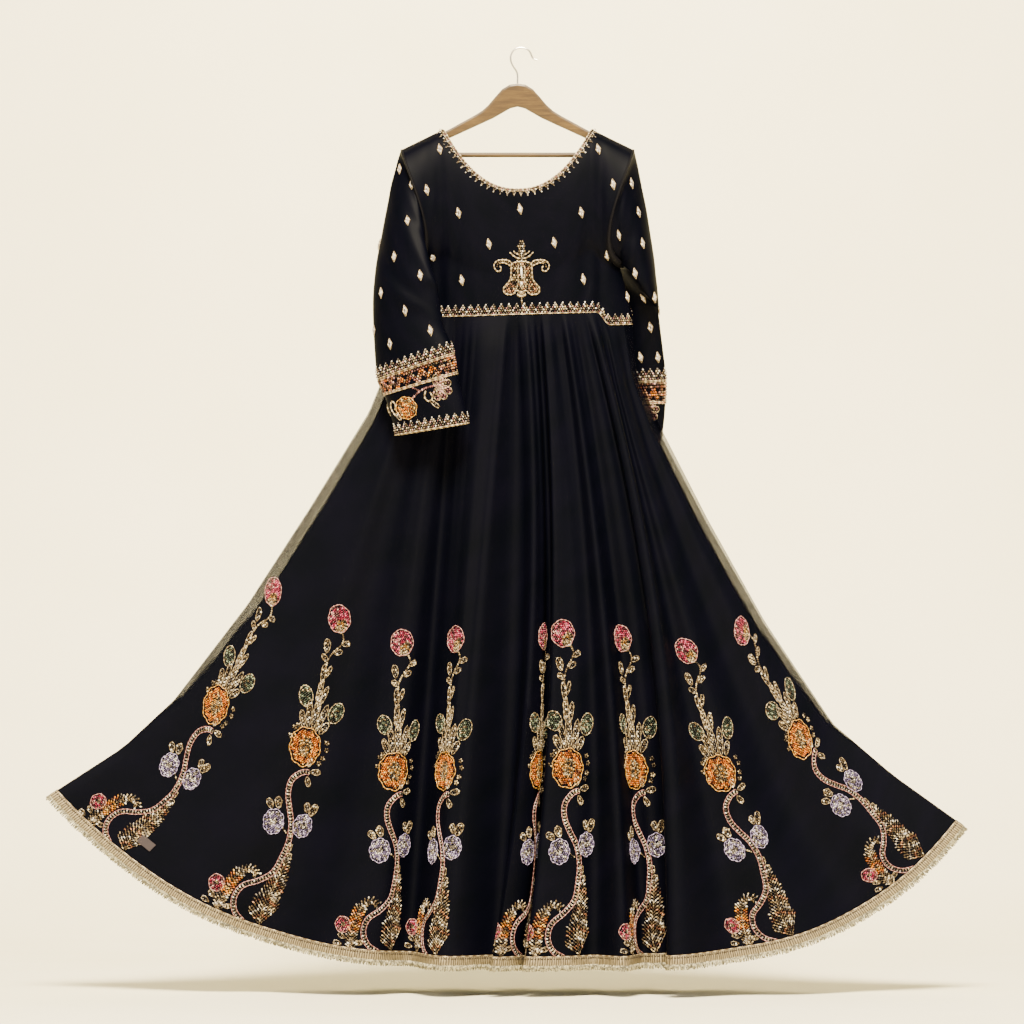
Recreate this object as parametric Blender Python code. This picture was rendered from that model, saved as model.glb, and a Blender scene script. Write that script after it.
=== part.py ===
"""A black anarkali gown hanging from a wooden hanger. Metres, +Z up, its front towards -Y.

The origin is the inside of the hook's top, which a rail carries. Sizes are in millimetres. The cloth is
worked out about the gown's own centre plane, which the root empty places beside the hook. Left and right
are the viewer's. A sheet is a grid of points, its rows running down the cloth and its columns across it.
"""

import math

import bmesh
import bpy
import numpy as np

MM = 0.001

# Where the gown's centre plane stands beside the hook's hold
GOWN_CENTRE_X = -6.7

# Cloth and trims: half a wall, the gap that two pieces keep, and the thickness of what is sewn on
HALF_WALL = 0.6
GAP = 0.3
TRIM = 1.0
SEAM_HALF = HALF_WALL + 0.2
MITRE_LEAST = 0.55

# How a section's depth falls from its centre to its sides: the power of the share across, and its roundness
LENS_POWER = 2.4
LENS_ROUND = 0.8

# Hanger: a flat shaped body, its outline from the centre to the right tip, top edge and then underside
HANGER_THICK = 10.0
HANGER_EDGE_ROUND = 3.2
HANGER_TOP = (
    (0, -57.6),
    (13, -59.4),
    (25, -66.5),
    (37, -80),
    (48, -93),
    (58, -102),
    (70, -109.5),
    (119, -136.2),
    (176, -165.5),
)
HANGER_END = ((184, -170), (186, -178), (181, -186), (170, -187), (157, -181))
HANGER_UNDER = ((157, -169), (112, -147.5), (40, -114.5), (12, -98.5), (0, -95.5))
BAR_RADIUS = 4.0
BAR_HALF_LENGTH = 156.6
BAR_Z = -174.5
WIRE_RADIUS = 1.5
HOOK_ROUTE = (
    (0, -57.2),
    (-0.6, -40),
    (-8.6, -27),
    (-11.4, -14.5),
    (-5.8, -2.4),
    (6.7, 1.5),
    (19, -3.6),
    (25, -15.8),
    (32, -18.6),
)

# Neck and shoulder line of the bodice
NECK_HALF = 121.0
NECK_TOP_Z = -133.0
NECK_DEPTH = 98.0
NECK_ROUND = 2.25
BACK_NECK_DEPTH = 104.0
SHOULDER_SLOPE = 0.49
NECK_SHARE = 0.64

# Armhole: its tip, underarm point and half depth, and how far it cuts in
TIP = (190.0, -167.0)
UNDERARM = (166.0, -352.0)
ARMHOLE_HALF_DEPTH = 42.0
ARMHOLE_CUT_IN = 34.0
ARMHOLE_ANGLES = (0, 38, 62, 84, 106, 128, 153, 180)
# How little of the armhole's curve the columns further in take up
EDGE_PULL_POWER = 4

# Waist: its half width, the bodice's depth there, and the seam's height along the front, which steps down
# between two places across at the tuck near the right side
WAIST_HALF = 188.0
BODICE_DEPTH = 52.0
DEPTH_SPREAD = 100.0
WAIST_Z = -438.0
WAIST_TILT = 0.03
WAIST_STEP = 21.0
WAIST_STEP_X = (132.0, 148.0)
SHOULDER_SHARES = (*(x / WAIST_HALF for x in WAIST_STEP_X), 0.9, 1.0)
BAND_TOP = 0.9
SIDE_SEAM_ROWS = (0.8, BAND_TOP, 1.0)

# Soft upright troughs of the bodice: place across, half breadth, depth
BODICE_TROUGHS = ((-128, 10, 6), (-148, 8, 4), (136, 9, 9), (112, 12, 3))

# Sleeve sections down from the armhole: outer and inner point (x, y, z), half thickness, and how far the
# front is drawn in towards the armhole. The left sleeve hangs in front of the bodice and skirt. The right one
# overhangs its own lower part at a slanting fold, and hangs beside and a little behind the skirt.
SLEEVE_LEFT = (
    ((-198, -3, -192), (-172, -20, -357), 30, 27),
    ((-206, -6, -224), (-152, -56, -358), 27, 18),
    ((-219, -16, -289), (-134, -74, -384), 28, 5),
    ((-232, -26, -363), (-127, -76, -416), 29, 0),
    ((-236, -36, -430), (-121, -80, -456), 28, 0),
    ((-230, -47, -532), (-106, -90, -494), 27, 0),
    ((-217, -54, -568), (-99, -94, -534), 26, 0),
    ((-202, -62, -617), (-84, -100, -595), 25, 0),
    ((-198, -64, -635), (-81, -102, -616), 24, 0),
)
SLEEVE_RIGHT = (
    ((199, -1, -205), (179, 3, -355), 38, -24),
    ((210, -2, -262), (176, 6, -355), 38, -16),
    ((224, -2, -346), (173, 10, -356), 36, -8),
    ((231, -4, -418), (172, 16, -357), 33, -2),
    ((231, 18, -432), (153, 52, -386), 25, 0),
    ((243, 38, -530), (132, 84, -534), 25, 0),
    ((243, 41, -580), (130, 92, -582), 25, 0),
    ((239, 46, -626), (126, 101, -624), 24, 0),
    ((234, 48, -645), (123, 104, -642), 23, 0),
)
# Cuff trims: name, first and last ring they cover, and material
CUFF_TRIMS = (("band", (6, 7), "copper_beads"), ("edge", (8, 9), "gold_beads"))

# Skirt outline: how far each corner of the hem stands out, how far it rises over the hem's middle, and the
# power of the hem's curve between them
HEM_MIDDLE_Z = -1497.0
HEM_LEFT = (768.0, 272.0, 3.0)
HEM_RIGHT = (732.0, 222.0, 4.0)
BACK_HEM_DROP = 9.0

# How far out each side edge has come at a share of the way down: share, left edge, right edge
SIDE_FLARE = (
    (0, 0, 0),
    (0.1, 0.04, 0.01),
    (0.2, 0.095, 0.07),
    (0.4, 0.262, 0.228),
    (0.6, 0.437, 0.4),
    (0.8, 0.645, 0.605),
    (0.9, 0.79, 0.785),
    (1, 1, 1),
)
# Only the outermost fold lines follow that flare: the power of their share of the reach
FLARE_REACH = 1.5

# Fold lines of the net, left to right: x at the waist, x at the hem, depth at the hem, sideways bow, and
# whether it is a crest or a trough of the gathers at the waist
FRONT_FOLDS = (
    (-188, -768, 0, 0, 0),
    (-183, -752, 8, 0, 0),
    (-166, -655, 24, 0, -1),
    (-151, -512, 60, 0, 1),
    (-138, -409, 48, 0, -1),
    (-124, -306, 94, 0, 1),
    (-110, -236, 100, 0, 0),
    (-95, -178, 52, 0, -1),
    (-60, -143, 122, 0, 1),
    (-20, -112, 144, 0, 1),
    (-8, -52, 98, 10, -1),
    (0, -33, 97, 22, -1),
    (10, -42, 147, 38, 1),
    (24, 2, 114, 27, 0),
    (30, 15, 60, 24, -1),
    (36, 29, 58, 24, -1),
    (42, 13, 140, 30, 1),
    (54, 81, 128, 24, 0),
    (66, 125, 98, 24, -1),
    (76, 172, 146, 22, 1),
    (92, 202, 80, 24, -1),
    (104, 228, 92, 32, 0),
    (110, 260, 86, 38, -1),
    (116, 242, 150, 42, 1),
    (124, 272, 160, 42, 1),
    (132, 357, 104, 20, -1),
    (148, 455, 106, 8, 1),
    (166, 565, 54, 0, -1),
    (177, 652, 42, 0, 1),
    (184, 718, 8, 0, 0),
    (188, 732, 0, 0, 0),
)
BACK_FOLDS = (
    (-188, -768, 0, 0, 0),
    (-183, -752, 8, 0, 0),
    (-165, -640, 26, 0, -1),
    (-149, -520, 58, 0, 1),
    (-131, -418, 50, 0, -1),
    (-112, -322, 104, -8, 1),
    (-92, -262, 70, -12, -1),
    (-74, -206, 138, -18, 1),
    (-56, -150, 60, -14, -1),
    (-38, -116, 146, -16, 1),
    (-18, -44, 66, -8, -1),
    (2, -6, 152, 0, 1),
    (22, 52, 74, 10, -1),
    (40, 92, 148, 16, 1),
    (60, 160, 58, 18, -1),
    (80, 196, 136, 22, 1),
    (98, 262, 76, 16, -1),
    (118, 330, 118, 12, 1),
    (138, 424, 56, 4, -1),
    (156, 524, 70, 0, 1),
    (172, 628, 28, 0, -1),
    (184, 718, 8, 0, 0),
    (188, 732, 0, 0, 0),
)
GATHER_DEPTH = 5.0
GATHER_START = 0.05
COLUMN_PITCH = 27.0
SKIRT_ROWS = (0, 0.07, 0.2, 0.38, 0.56, 0.74, 0.9, 0.985, 1)

# Lining: a plainer lens of cloth inside the net, drawn in from its side edges by a share of the way down
LINING_COLUMNS = 24
LINING_HEM_DEPTH = 42.0
LINING_WAIST_SHARE = 0.72
LINING_ROWS = (0.04, 0.12, 0.25, 0.4, 0.56, 0.72, 0.86, 0.978)
LINING_STEP_LEAD = 15.0
LINING_INSET = ((0, 14), (0.1, 14), (0.35, 24), (0.6, 30), (0.8, 20), (0.9, 14), (1, 16))

# Fringe locks under the hem braid
LOCK_DROP = 10.5
LOCK_TIP_SHARE = 0.45

# Chest ornament: its centre across, then height and half breadth of each row
MOTIF_X = 6.5
MOTIF_ROWS = (
    (-316, 2),
    (-326, 6),
    (-345, 9),
    (-353, 14),
    (-357, 40),
    (-368, 42),
    (-373, 24),
    (-388, 22),
    (-398, 29),
    (-405, 30),
    (-410, 22),
    (-414, 8),
)
MOTIF_COLUMNS = 5

# Plain tab near the left hem: its place on the skirt as fold number and share down, its sides and its lean
TAB_FOLD = 2.1
TAB_DOWN = 0.96
TAB_SIZE = (28.0, 15.0)
TAB_ASIDE = 0.05
TAB_BELOW = 0.01

# Colour, roughness and metallic value of each material
MATERIALS = {
    "black_satin": ((0.010, 0.009, 0.012, 1), 0.55, 0.0),
    "black_net": ((0.014, 0.013, 0.016, 1), 0.75, 0.0),
    "black_lining": ((0.008, 0.008, 0.010, 1), 0.5, 0.0),
    "gold_beads": ((0.42, 0.31, 0.20, 1), 0.4, 0.5),
    "copper_beads": ((0.36, 0.19, 0.10, 1), 0.4, 0.5),
    "champagne_braid": ((0.45, 0.36, 0.24, 1), 0.5, 0.4),
    "mauve_cloth": ((0.12, 0.08, 0.09, 1), 0.8, 0.0),
    "warm_wood": ((0.42, 0.24, 0.10, 1), 0.45, 0.0),
    "steel": ((0.55, 0.55, 0.56, 1), 0.25, 1.0),
}


def clear_scene():
    for obj in list(bpy.data.objects):
        bpy.data.objects.remove(obj)


def material(name):
    """A Principled material in the named colour, made once."""
    if name in bpy.data.materials:
        return bpy.data.materials[name]
    colour, roughness, metallic = MATERIALS[name]
    made = bpy.data.materials.new(name)
    made.use_nodes = True
    shader = made.node_tree.nodes["Principled BSDF"]
    shader.inputs["Base Color"].default_value = colour
    shader.inputs["Roughness"].default_value = roughness
    shader.inputs["Metallic"].default_value = metallic
    made.diffuse_color = colour
    return made


def place(obj, root, material_name):
    obj.data.materials.append(material(material_name))
    obj.parent = root
    return obj


def read_table(rows, at):
    """A table's other columns at a value of its first column, between rows by a straight line."""
    columns = np.array(rows, float).T
    return [float(np.interp(at, columns[0], column)) for column in columns[1:]]


def off_sheet(grid, wrap, outward):
    """The step off the sheet at each point, lengthened at a fold so that both its flanks move by one unit.

    outward is 1 where the cloth's outer side is towards -Y with columns running to the right, else -1."""
    nexts = np.roll(grid, -1, axis=1) if wrap else grid[:, 1:]
    here = grid if wrap else grid[:, :-1]
    faces = np.cross(here[1:] - nexts[:-1], nexts[1:] - here[:-1]) * outward
    faces /= np.linalg.norm(faces, axis=2, keepdims=True)
    faces = np.concatenate([faces[:1], faces, faces[-1:]])
    if wrap:
        faces = np.concatenate([faces[:, -1:], faces], axis=1)
    else:
        faces = np.concatenate([faces[:, :1], faces, faces[:, -1:]], axis=1)
    around = [faces[:-1, :-1], faces[:-1, 1:], faces[1:, :-1], faces[1:, 1:]]
    mean = sum(around)
    mean /= np.linalg.norm(mean, axis=2, keepdims=True)
    least = np.min([(mean * face).sum(axis=2) for face in around], axis=0)
    return mean / np.clip(least, MITRE_LEAST, 1)[:, :, None]


def sheet_of(grid, outward=1, wrap=False):
    grid = np.array(grid, float)
    return grid, off_sheet(grid, wrap, outward)


def wall(name, root, material_name, sheet, low, high, outward=1, wrap=False, locks=False):
    """A closed wall over a sheet, from low to high millimetres off it, with fringe locks under it if asked.

    The sheet is its points and its steps off them. What is sewn on takes both from the panel's sheet."""
    grid, step = sheet
    rows, columns = grid.shape[:2]
    bm = bmesh.new()
    inner = [[bm.verts.new(p * MM) for p in row] for row in grid + step * low]
    outer = [[bm.verts.new(p * MM) for p in row] for row in grid + step * high]

    def face(*corners):
        bm.faces.new(corners if outward > 0 else corners[::-1])

    spans = [(c, (c + 1) % columns) for c in range(columns if wrap else columns - 1)]
    for r in range(rows - 1):
        for c, d in spans:
            face(outer[r][c], outer[r + 1][c], outer[r + 1][d], outer[r][d])
            face(inner[r][c], inner[r][d], inner[r + 1][d], inner[r + 1][c])
    for c, d in spans:
        face(inner[0][d], inner[0][c], outer[0][c], outer[0][d])
        if not locks:
            face(inner[-1][c], inner[-1][d], outer[-1][d], outer[-1][c])
            continue
        fall = grid[-1, c] + grid[-1, d] - grid[-2, c] - grid[-2, d]
        fall *= LOCK_DROP * MM / np.linalg.norm(fall)
        root_points = [inner[-1][c], inner[-1][d], outer[-1][d], outer[-1][c]]
        middle = sum((np.array(v.co) for v in root_points)) / 4
        tip = [
            bm.verts.new(middle + (np.array(v.co) - middle) * LOCK_TIP_SHARE + fall)
            for v in root_points
        ]
        for k in range(4):
            face(root_points[k], root_points[(k + 1) % 4], tip[(k + 1) % 4], tip[k])
        face(*tip)
    if not wrap:
        for r in range(rows - 1):
            face(inner[r][0], inner[r + 1][0], outer[r + 1][0], outer[r][0])
            face(outer[r][-1], outer[r + 1][-1], inner[r + 1][-1], inner[r][-1])
    mesh = bpy.data.meshes.new(name)
    bm.to_mesh(mesh)
    bm.free()
    mesh.shade_smooth()
    mesh.set_sharp_from_angle(angle=math.radians(50))
    obj = bpy.data.objects.new(name, mesh)
    bpy.context.collection.objects.link(obj)
    return place(obj, root, material_name)


# Hanger


def hanger_body(root):
    """The wooden body: its outline mirrored, extruded and rounded on both long edges."""
    right = list(HANGER_TOP) + list(HANGER_END) + list(HANGER_UNDER)
    left = [(-x, z) for x, z in right[-2:0:-1]]
    bm = bmesh.new()
    half = HANGER_THICK / 2
    ring = [bm.verts.new((x * MM, -half * MM, z * MM)) for x, z in right + left]
    front = bm.faces.new(ring)
    moved = bmesh.ops.extrude_face_region(bm, geom=[front])["geom"]
    far = [v for v in moved if isinstance(v, bmesh.types.BMVert)]
    bmesh.ops.translate(bm, vec=(0, HANGER_THICK * MM, 0), verts=far)
    bmesh.ops.recalc_face_normals(bm, faces=bm.faces)
    outline = [edge for edge in bm.edges if abs(edge.verts[0].co.y - edge.verts[1].co.y) < MM]
    bmesh.ops.bevel(
        bm,
        geom=outline,
        offset=HANGER_EDGE_ROUND * MM,
        segments=2,
        profile=0.5,
        affect="EDGES",
        clamp_overlap=True,
    )
    mesh = bpy.data.meshes.new("hanger_body")
    bm.to_mesh(mesh)
    bm.free()
    obj = bpy.data.objects.new("hanger_body", mesh)
    bpy.context.collection.objects.link(obj)
    return place(obj, root, "warm_wood")


def hanger_bar(root):
    bpy.ops.mesh.primitive_cylinder_add(
        vertices=16,
        radius=BAR_RADIUS * MM,
        depth=2 * BAR_HALF_LENGTH * MM,
        location=(0, 0, BAR_Z * MM),
        rotation=(0, math.pi / 2, 0),
    )
    obj = bpy.context.object
    obj.name = "hanger_bar"
    obj.data.shade_smooth()
    obj.data.set_sharp_from_angle(angle=math.radians(40))
    return place(obj, root, "warm_wood")


def smooth_route(points, steps):
    """Points along a smooth curve through the given ones."""
    knots = np.array(points, float)
    knots = np.vstack([2 * knots[0] - knots[1], knots, 2 * knots[-1] - knots[-2]])
    route = [through(knots[i : i + 4], s / steps) for i in range(len(points) - 1) for s in range(steps)]
    return route + [knots[-2]]


def hanger_hook(root):
    curve = bpy.data.curves.new("hanger_hook", "CURVE")
    curve.dimensions = "3D"
    curve.bevel_depth = WIRE_RADIUS * MM
    curve.bevel_resolution = 2
    curve.use_fill_caps = True
    spline = curve.splines.new("POLY")
    route = smooth_route(HOOK_ROUTE, 3)
    spline.points.add(len(route) - 1)
    for point, (x, z) in zip(spline.points, route):
        point.co = (x * MM, 0, z * MM, 1)
    obj = bpy.data.objects.new("hanger_hook", curve)
    bpy.context.collection.objects.link(obj)
    return place(obj, root, "steel")


# Bodice


def through(four, share):
    """A smooth curve through the middle two of four points, at a share of the way between them."""
    before, start, end, after = four
    slope_in = (end - before) / 2
    slope_out = (after - start) / 2
    s2, s3 = share**2, share**3
    near = start * (2 * s3 - 3 * s2 + 1) + slope_in * (s3 - 2 * s2 + share)
    far = end * (3 * s2 - 2 * s3) + slope_out * (s3 - s2)
    return near + far


def waist_z(x, side):
    """Height of the waist seam. Only the front (side 1) tilts and steps down at its tuck."""
    if side < 0:
        return WAIST_Z
    return WAIST_Z + WAIST_TILT * x - WAIST_STEP * float(np.interp(x, WAIST_STEP_X, (0, 1)))


def lens(share):
    """How full a section is at a share of its half width: 1 at the centre and 0 at the side."""
    return max(1 - abs(share) ** LENS_POWER, 0) ** LENS_ROUND


def shoulder_depth(below):
    """How far the cloth stands off the hanger's plane at a distance below the shoulder line."""
    return BODICE_DEPTH * (1 - math.exp(-math.sqrt(max(below, 0) / DEPTH_SPREAD)))


def shoulder_z(x):
    return NECK_TOP_Z + (NECK_HALF - abs(x)) * SHOULDER_SLOPE


def armhole(angle):
    """A point of the right front armhole: 0 degrees at the tip, 180 at the underarm. y is the depth."""
    share = (1 - math.cos(math.radians(angle))) / 2
    bend = math.sin(math.radians(angle))
    x = TIP[0] + (UNDERARM[0] - TIP[0]) * share - ARMHOLE_CUT_IN * bend * share**0.8
    z = TIP[1] + (UNDERARM[1] - TIP[1]) * share
    return x, ARMHOLE_HALF_DEPTH * bend, z


def side_column(side, hand):
    """The bodice's side edge: the armhole and then the side seam, as share down, x and depth."""
    end_z = waist_z(hand * WAIST_HALF, side)
    span = TIP[1] - end_z
    rows = []
    for angle in ARMHOLE_ANGLES:
        x, depth, z = armhole(angle)
        rows.append(((TIP[1] - z) / span, x, depth))
    for share in SIDE_SEAM_ROWS:
        down = (TIP[1] - share * span - UNDERARM[1]) / (end_z - UNDERARM[1])
        rows.append((share, UNDERARM[0] + (WAIST_HALF - UNDERARM[0]) * down, 0))
    return rows


def bodice_top(across, side):
    """The top edge at a share across: the neckline, then the shoulder line."""
    reach = abs(across)
    if reach <= NECK_SHARE:
        x = NECK_HALF * reach / NECK_SHARE
        deep = 1 - (x / NECK_HALF) ** NECK_ROUND
        z = NECK_TOP_Z - (NECK_DEPTH if side > 0 else BACK_NECK_DEPTH) * deep
    else:
        x = NECK_HALF + (TIP[0] - NECK_HALF) * (reach - NECK_SHARE) / (1 - NECK_SHARE)
        z = shoulder_z(x)
    return math.copysign(x, across), z


def bodice_columns():
    """Shares across, closer together at the neck's centre and at the shoulder."""
    neck = [NECK_SHARE * math.sin(math.pi / 2 * k / 7) for k in range(8)]
    half = neck + list(SHOULDER_SHARES)
    return [-share for share in half[:0:-1]] + half


def bodice_point(across, row, side):
    """A point of the bodice in row number row: side 1 is the front and -1 the back."""
    hand = math.copysign(1, across)
    down, edge_x, edge_depth = side_column(side, hand)[row]
    top_x, top_z = bodice_top(across, side)
    foot_x = across * WAIST_HALF
    straight_edge = TIP[0] + (WAIST_HALF - TIP[0]) * down
    x = top_x + (foot_x - top_x) * down + hand * (edge_x - straight_edge) * abs(across) ** EDGE_PULL_POWER
    z = top_z + (waist_z(foot_x, side) - top_z) * down
    full = shoulder_depth(shoulder_z(x) - z)
    depth = edge_depth + (full - edge_depth) * lens(across)
    if side > 0:
        fade = lens(across) * min(1, 3 * down)
        for trough_x, breadth, deep in BODICE_TROUGHS:
            depth -= fade * deep * math.exp(-(((x - trough_x) / breadth) ** 2))
    return x, -side * max(depth, SEAM_HALF), z


def bodice_grid(side):
    rows = len(ARMHOLE_ANGLES) + len(SIDE_SEAM_ROWS)
    columns = bodice_columns()
    grid = np.array([[bodice_point(across, row, side) for across in columns] for row in range(rows)])
    grid[-1, :, 2] += GAP / 2
    return grid


def bodice(root):
    for side, name in ((1, "front"), (-1, "back")):
        grid, step = sheet_of(bodice_grid(side), side)
        wall("bodice_" + name, root, "black_satin", (grid, step), -HALF_WALL, HALF_WALL, side)
        low = HALF_WALL + GAP
        neck = [k for k, across in enumerate(bodice_columns()) if abs(across) <= NECK_SHARE + 1e-6]
        wall("neck_trim_" + name, root, "gold_beads", (grid[:2, neck], step[:2, neck]), low, low + TRIM, side)
        wall("waist_band_" + name, root, "gold_beads", (grid[-2:], step[-2:]), low, low + TRIM, side)


def chest_motif(root):
    """The raised ornament, laid on the front and moved out from it."""
    grid = bodice_grid(1)
    centre = grid.shape[1] // 2
    front_z = grid[::-1, centre, 2]
    front_y = grid[::-1, centre, 1]
    rows = []
    for z, half in MOTIF_ROWS:
        y = float(np.interp(z, front_z, front_y))
        across = [MOTIF_X + half * (2 * k / (MOTIF_COLUMNS - 1) - 1) for k in range(MOTIF_COLUMNS)]
        rows.append([(x, y * lens(x / WAIST_HALF) / lens(0), z) for x in across])
    low = HALF_WALL + 2 * GAP
    wall("chest_motif", root, "gold_beads", sheet_of(rows), low, low + TRIM)


# Sleeves


def sleeve_angles():
    """The armhole's own angles, forwards to the underarm and back behind."""
    return list(ARMHOLE_ANGLES) + [360 - angle for angle in ARMHOLE_ANGLES[-2:0:-1]]


def armhole_ring(hand):
    """The sleeve's first ring, just outside the bodice's armhole, front half and then back half."""
    ring = []
    for angle in sleeve_angles():
        x, depth, z = armhole(min(angle, 360 - angle))
        clear = HALF_WALL + GAP + HALF_WALL * 2 * ((TIP[1] - z) / (TIP[1] - UNDERARM[1])) ** 2
        ring.append((hand * (x + clear), -depth if angle < 180 else depth, z))
    return np.array(ring)


def section_ring(outer, inner, half, tuck):
    """An oval ring from the outer point forwards to the inner point and back behind."""
    outer, inner = np.array(outer, float), np.array(inner, float)
    centre = (outer + inner) / 2
    ring = []
    for angle in sleeve_angles():
        turn = math.radians(angle)
        inwards = tuck * max(0, math.sin(turn))
        ring.append(centre + (outer - centre) * math.cos(turn) + (inwards, -half * math.sin(turn), 0))
    return ring


def sleeves(root):
    for name, hand, sections in (("left", -1, SLEEVE_LEFT), ("right", 1, SLEEVE_RIGHT)):
        rings = [armhole_ring(hand)] + [section_ring(*section) for section in sections]
        grid, step = sheet_of(rings, -hand, True)
        wall("sleeve_" + name, root, "black_satin", (grid, step), -HALF_WALL, HALF_WALL, -hand, wrap=True)
        low = HALF_WALL + GAP
        for part, (first, last), colour in CUFF_TRIMS:
            sheet = grid[first : last + 1], step[first : last + 1]
            wall(f"cuff_{part}_{name}", root, colour, sheet, low, low + TRIM, -hand, wrap=True)


# Skirt


def seam_depth(x, side):
    """How far the waist seam stands out at x."""
    return shoulder_depth(shoulder_z(x) - waist_z(x, side)) * lens(x / WAIST_HALF)


def hem_z(x, side):
    """Height of the cloth's hem at its own x, lowest in the middle."""
    reach, rise, power = HEM_LEFT if x < 0 else HEM_RIGHT
    share = min(abs(x) / reach, 1)
    drop = BACK_HEM_DROP * (1 - share**2) if side < 0 else 0
    return HEM_MIDDLE_Z + rise * share**power - drop


def skirt_z(waist_x, hem_x, down, side):
    top = waist_z(waist_x, side)
    return top + (hem_z(hem_x, side) - top) * down


def skirt_line(fold, down, side):
    """One fold line at a share of the way down: x, depth, and its places across at the waist and the hem."""
    waist_x, hem_x, hem_depth, bow, crest = fold
    reach = HEM_LEFT[0] if hem_x < 0 else HEM_RIGHT[0]
    flare = read_table(SIDE_FLARE, down)[0 if hem_x < 0 else 1]
    edge = min(abs(hem_x) / reach, 1) ** FLARE_REACH
    out = down + (flare - down) * edge
    x = waist_x + (hem_x - waist_x) * out + bow * 4 * down * (1 - down)
    gathers = crest * GATHER_DEPTH * min(1, down / GATHER_START) * (1 - down) * lens(waist_x / WAIST_HALF)
    top_depth = seam_depth(waist_x, side)
    return np.array((x, top_depth + (hem_depth - top_depth) * down + gathers, waist_x, hem_x))


def skirt_point(folds, place_across, down, side):
    """A point of the net between fold lines, whose numbers run from 0 at the left edge."""
    first = min(int(place_across), len(folds) - 2)
    lines = [folds[min(max(k, 0), len(folds) - 1)] for k in range(first - 1, first + 3)]
    x, depth, waist_x, hem_x = through([skirt_line(line, down, side) for line in lines], place_across - first)
    return x, -side * max(depth, SEAM_HALF), skirt_z(waist_x, hem_x, down, side)


def skirt_columns(folds, side):
    """Places across at which the net has a column: each fold line, and between them as the hem asks."""
    hem = [skirt_line(fold, 1, side) for fold in folds]
    columns = []
    for k in range(len(folds) - 1):
        steps = max(1, round(math.dist(hem[k + 1][:2], hem[k][:2]) / COLUMN_PITCH))
        columns += [k + s / steps for s in range(steps)]
    return columns + [len(folds) - 1]


def skirt_grid(side):
    folds = FRONT_FOLDS if side > 0 else BACK_FOLDS
    columns = skirt_columns(folds, side)
    rows = [[skirt_point(folds, column, down, side) for column in columns] for down in SKIRT_ROWS]
    grid = np.array(rows)
    grid[0, :, 2] -= GAP / 2
    return grid


def lining_grid(side):
    """The lining: from just inside the waist seam it falls as a plain lens of cloth inside the net."""
    folds = FRONT_FOLDS if side > 0 else BACK_FOLDS
    shares = [math.sin(math.pi / 2 * (2 * k / LINING_COLUMNS - 1)) for k in range(LINING_COLUMNS + 1)]
    inside = 2 * (HALF_WALL + GAP)
    rows = []
    for down in (0, *LINING_ROWS):
        inset = read_table(LINING_INSET, down)[0]
        middle_depth = LINING_WAIST_SHARE * seam_depth(0, side) * (1 - down) + LINING_HEM_DEPTH * down
        row = []
        for share in shares:
            edge_fold = folds[0 if share < 0 else -1]
            edge_x, _, waist_x, hem_x = skirt_line(edge_fold, down, side)
            reach = abs(share)
            x = share * (abs(edge_x) - inset)
            z = skirt_z(abs(waist_x) * share, abs(hem_x) * share, down, side)
            if down == 0:
                depth = seam_depth(x, side) - inside
                z = min(waist_z(x, side), waist_z(x + LINING_STEP_LEAD, side)) - GAP
            else:
                depth = middle_depth * (1 - reach**2) ** LENS_ROUND
            row.append((x, -side * max(depth, SEAM_HALF), z))
        rows.append(row)
    return rows


def skirt(root):
    for side, name in ((1, "front"), (-1, "back")):
        grid, step = sheet_of(skirt_grid(side), side)
        wall("skirt_" + name, root, "black_net", (grid, step), -HALF_WALL, HALF_WALL, side)
        lining = sheet_of(lining_grid(side), side)
        wall("lining_" + name, root, "black_lining", lining, -HALF_WALL, HALF_WALL, side)
        low = HALF_WALL + GAP
        hem = grid[-2:], step[-2:]
        wall("hem_trim_" + name, root, "champagne_braid", hem, low, low + TRIM, side, locks=True)


def hem_tab(root):
    """The plain tab, made from the front's own points and moved out."""
    centre = np.array(skirt_point(FRONT_FOLDS, TAB_FOLD, TAB_DOWN, 1))
    across = np.array(skirt_point(FRONT_FOLDS, TAB_FOLD + TAB_ASIDE, TAB_DOWN, 1)) - centre
    down = np.array(skirt_point(FRONT_FOLDS, TAB_FOLD, TAB_DOWN + TAB_BELOW, 1)) - centre
    across *= TAB_SIZE[0] / 2 / np.linalg.norm(across)
    down *= TAB_SIZE[1] / 2 / np.linalg.norm(down)
    grid = [[centre + across * a + down * d for a in (-1, 0, 1)] for d in (-1, 1)]
    low = HALF_WALL + 3 * GAP
    wall("hem_tab", root, "mauve_cloth", sheet_of(grid), low, low + TRIM)


def main():
    clear_scene()
    root = bpy.data.objects.new("gown_root", None)
    root.location = (GOWN_CENTRE_X * MM, 0, 0)
    bpy.context.collection.objects.link(root)
    hanger_body(root)
    hanger_bar(root)
    hanger_hook(root)
    bodice(root)
    chest_motif(root)
    sleeves(root)
    skirt(root)
    hem_tab(root)


main()
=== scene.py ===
import math
import random

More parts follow.
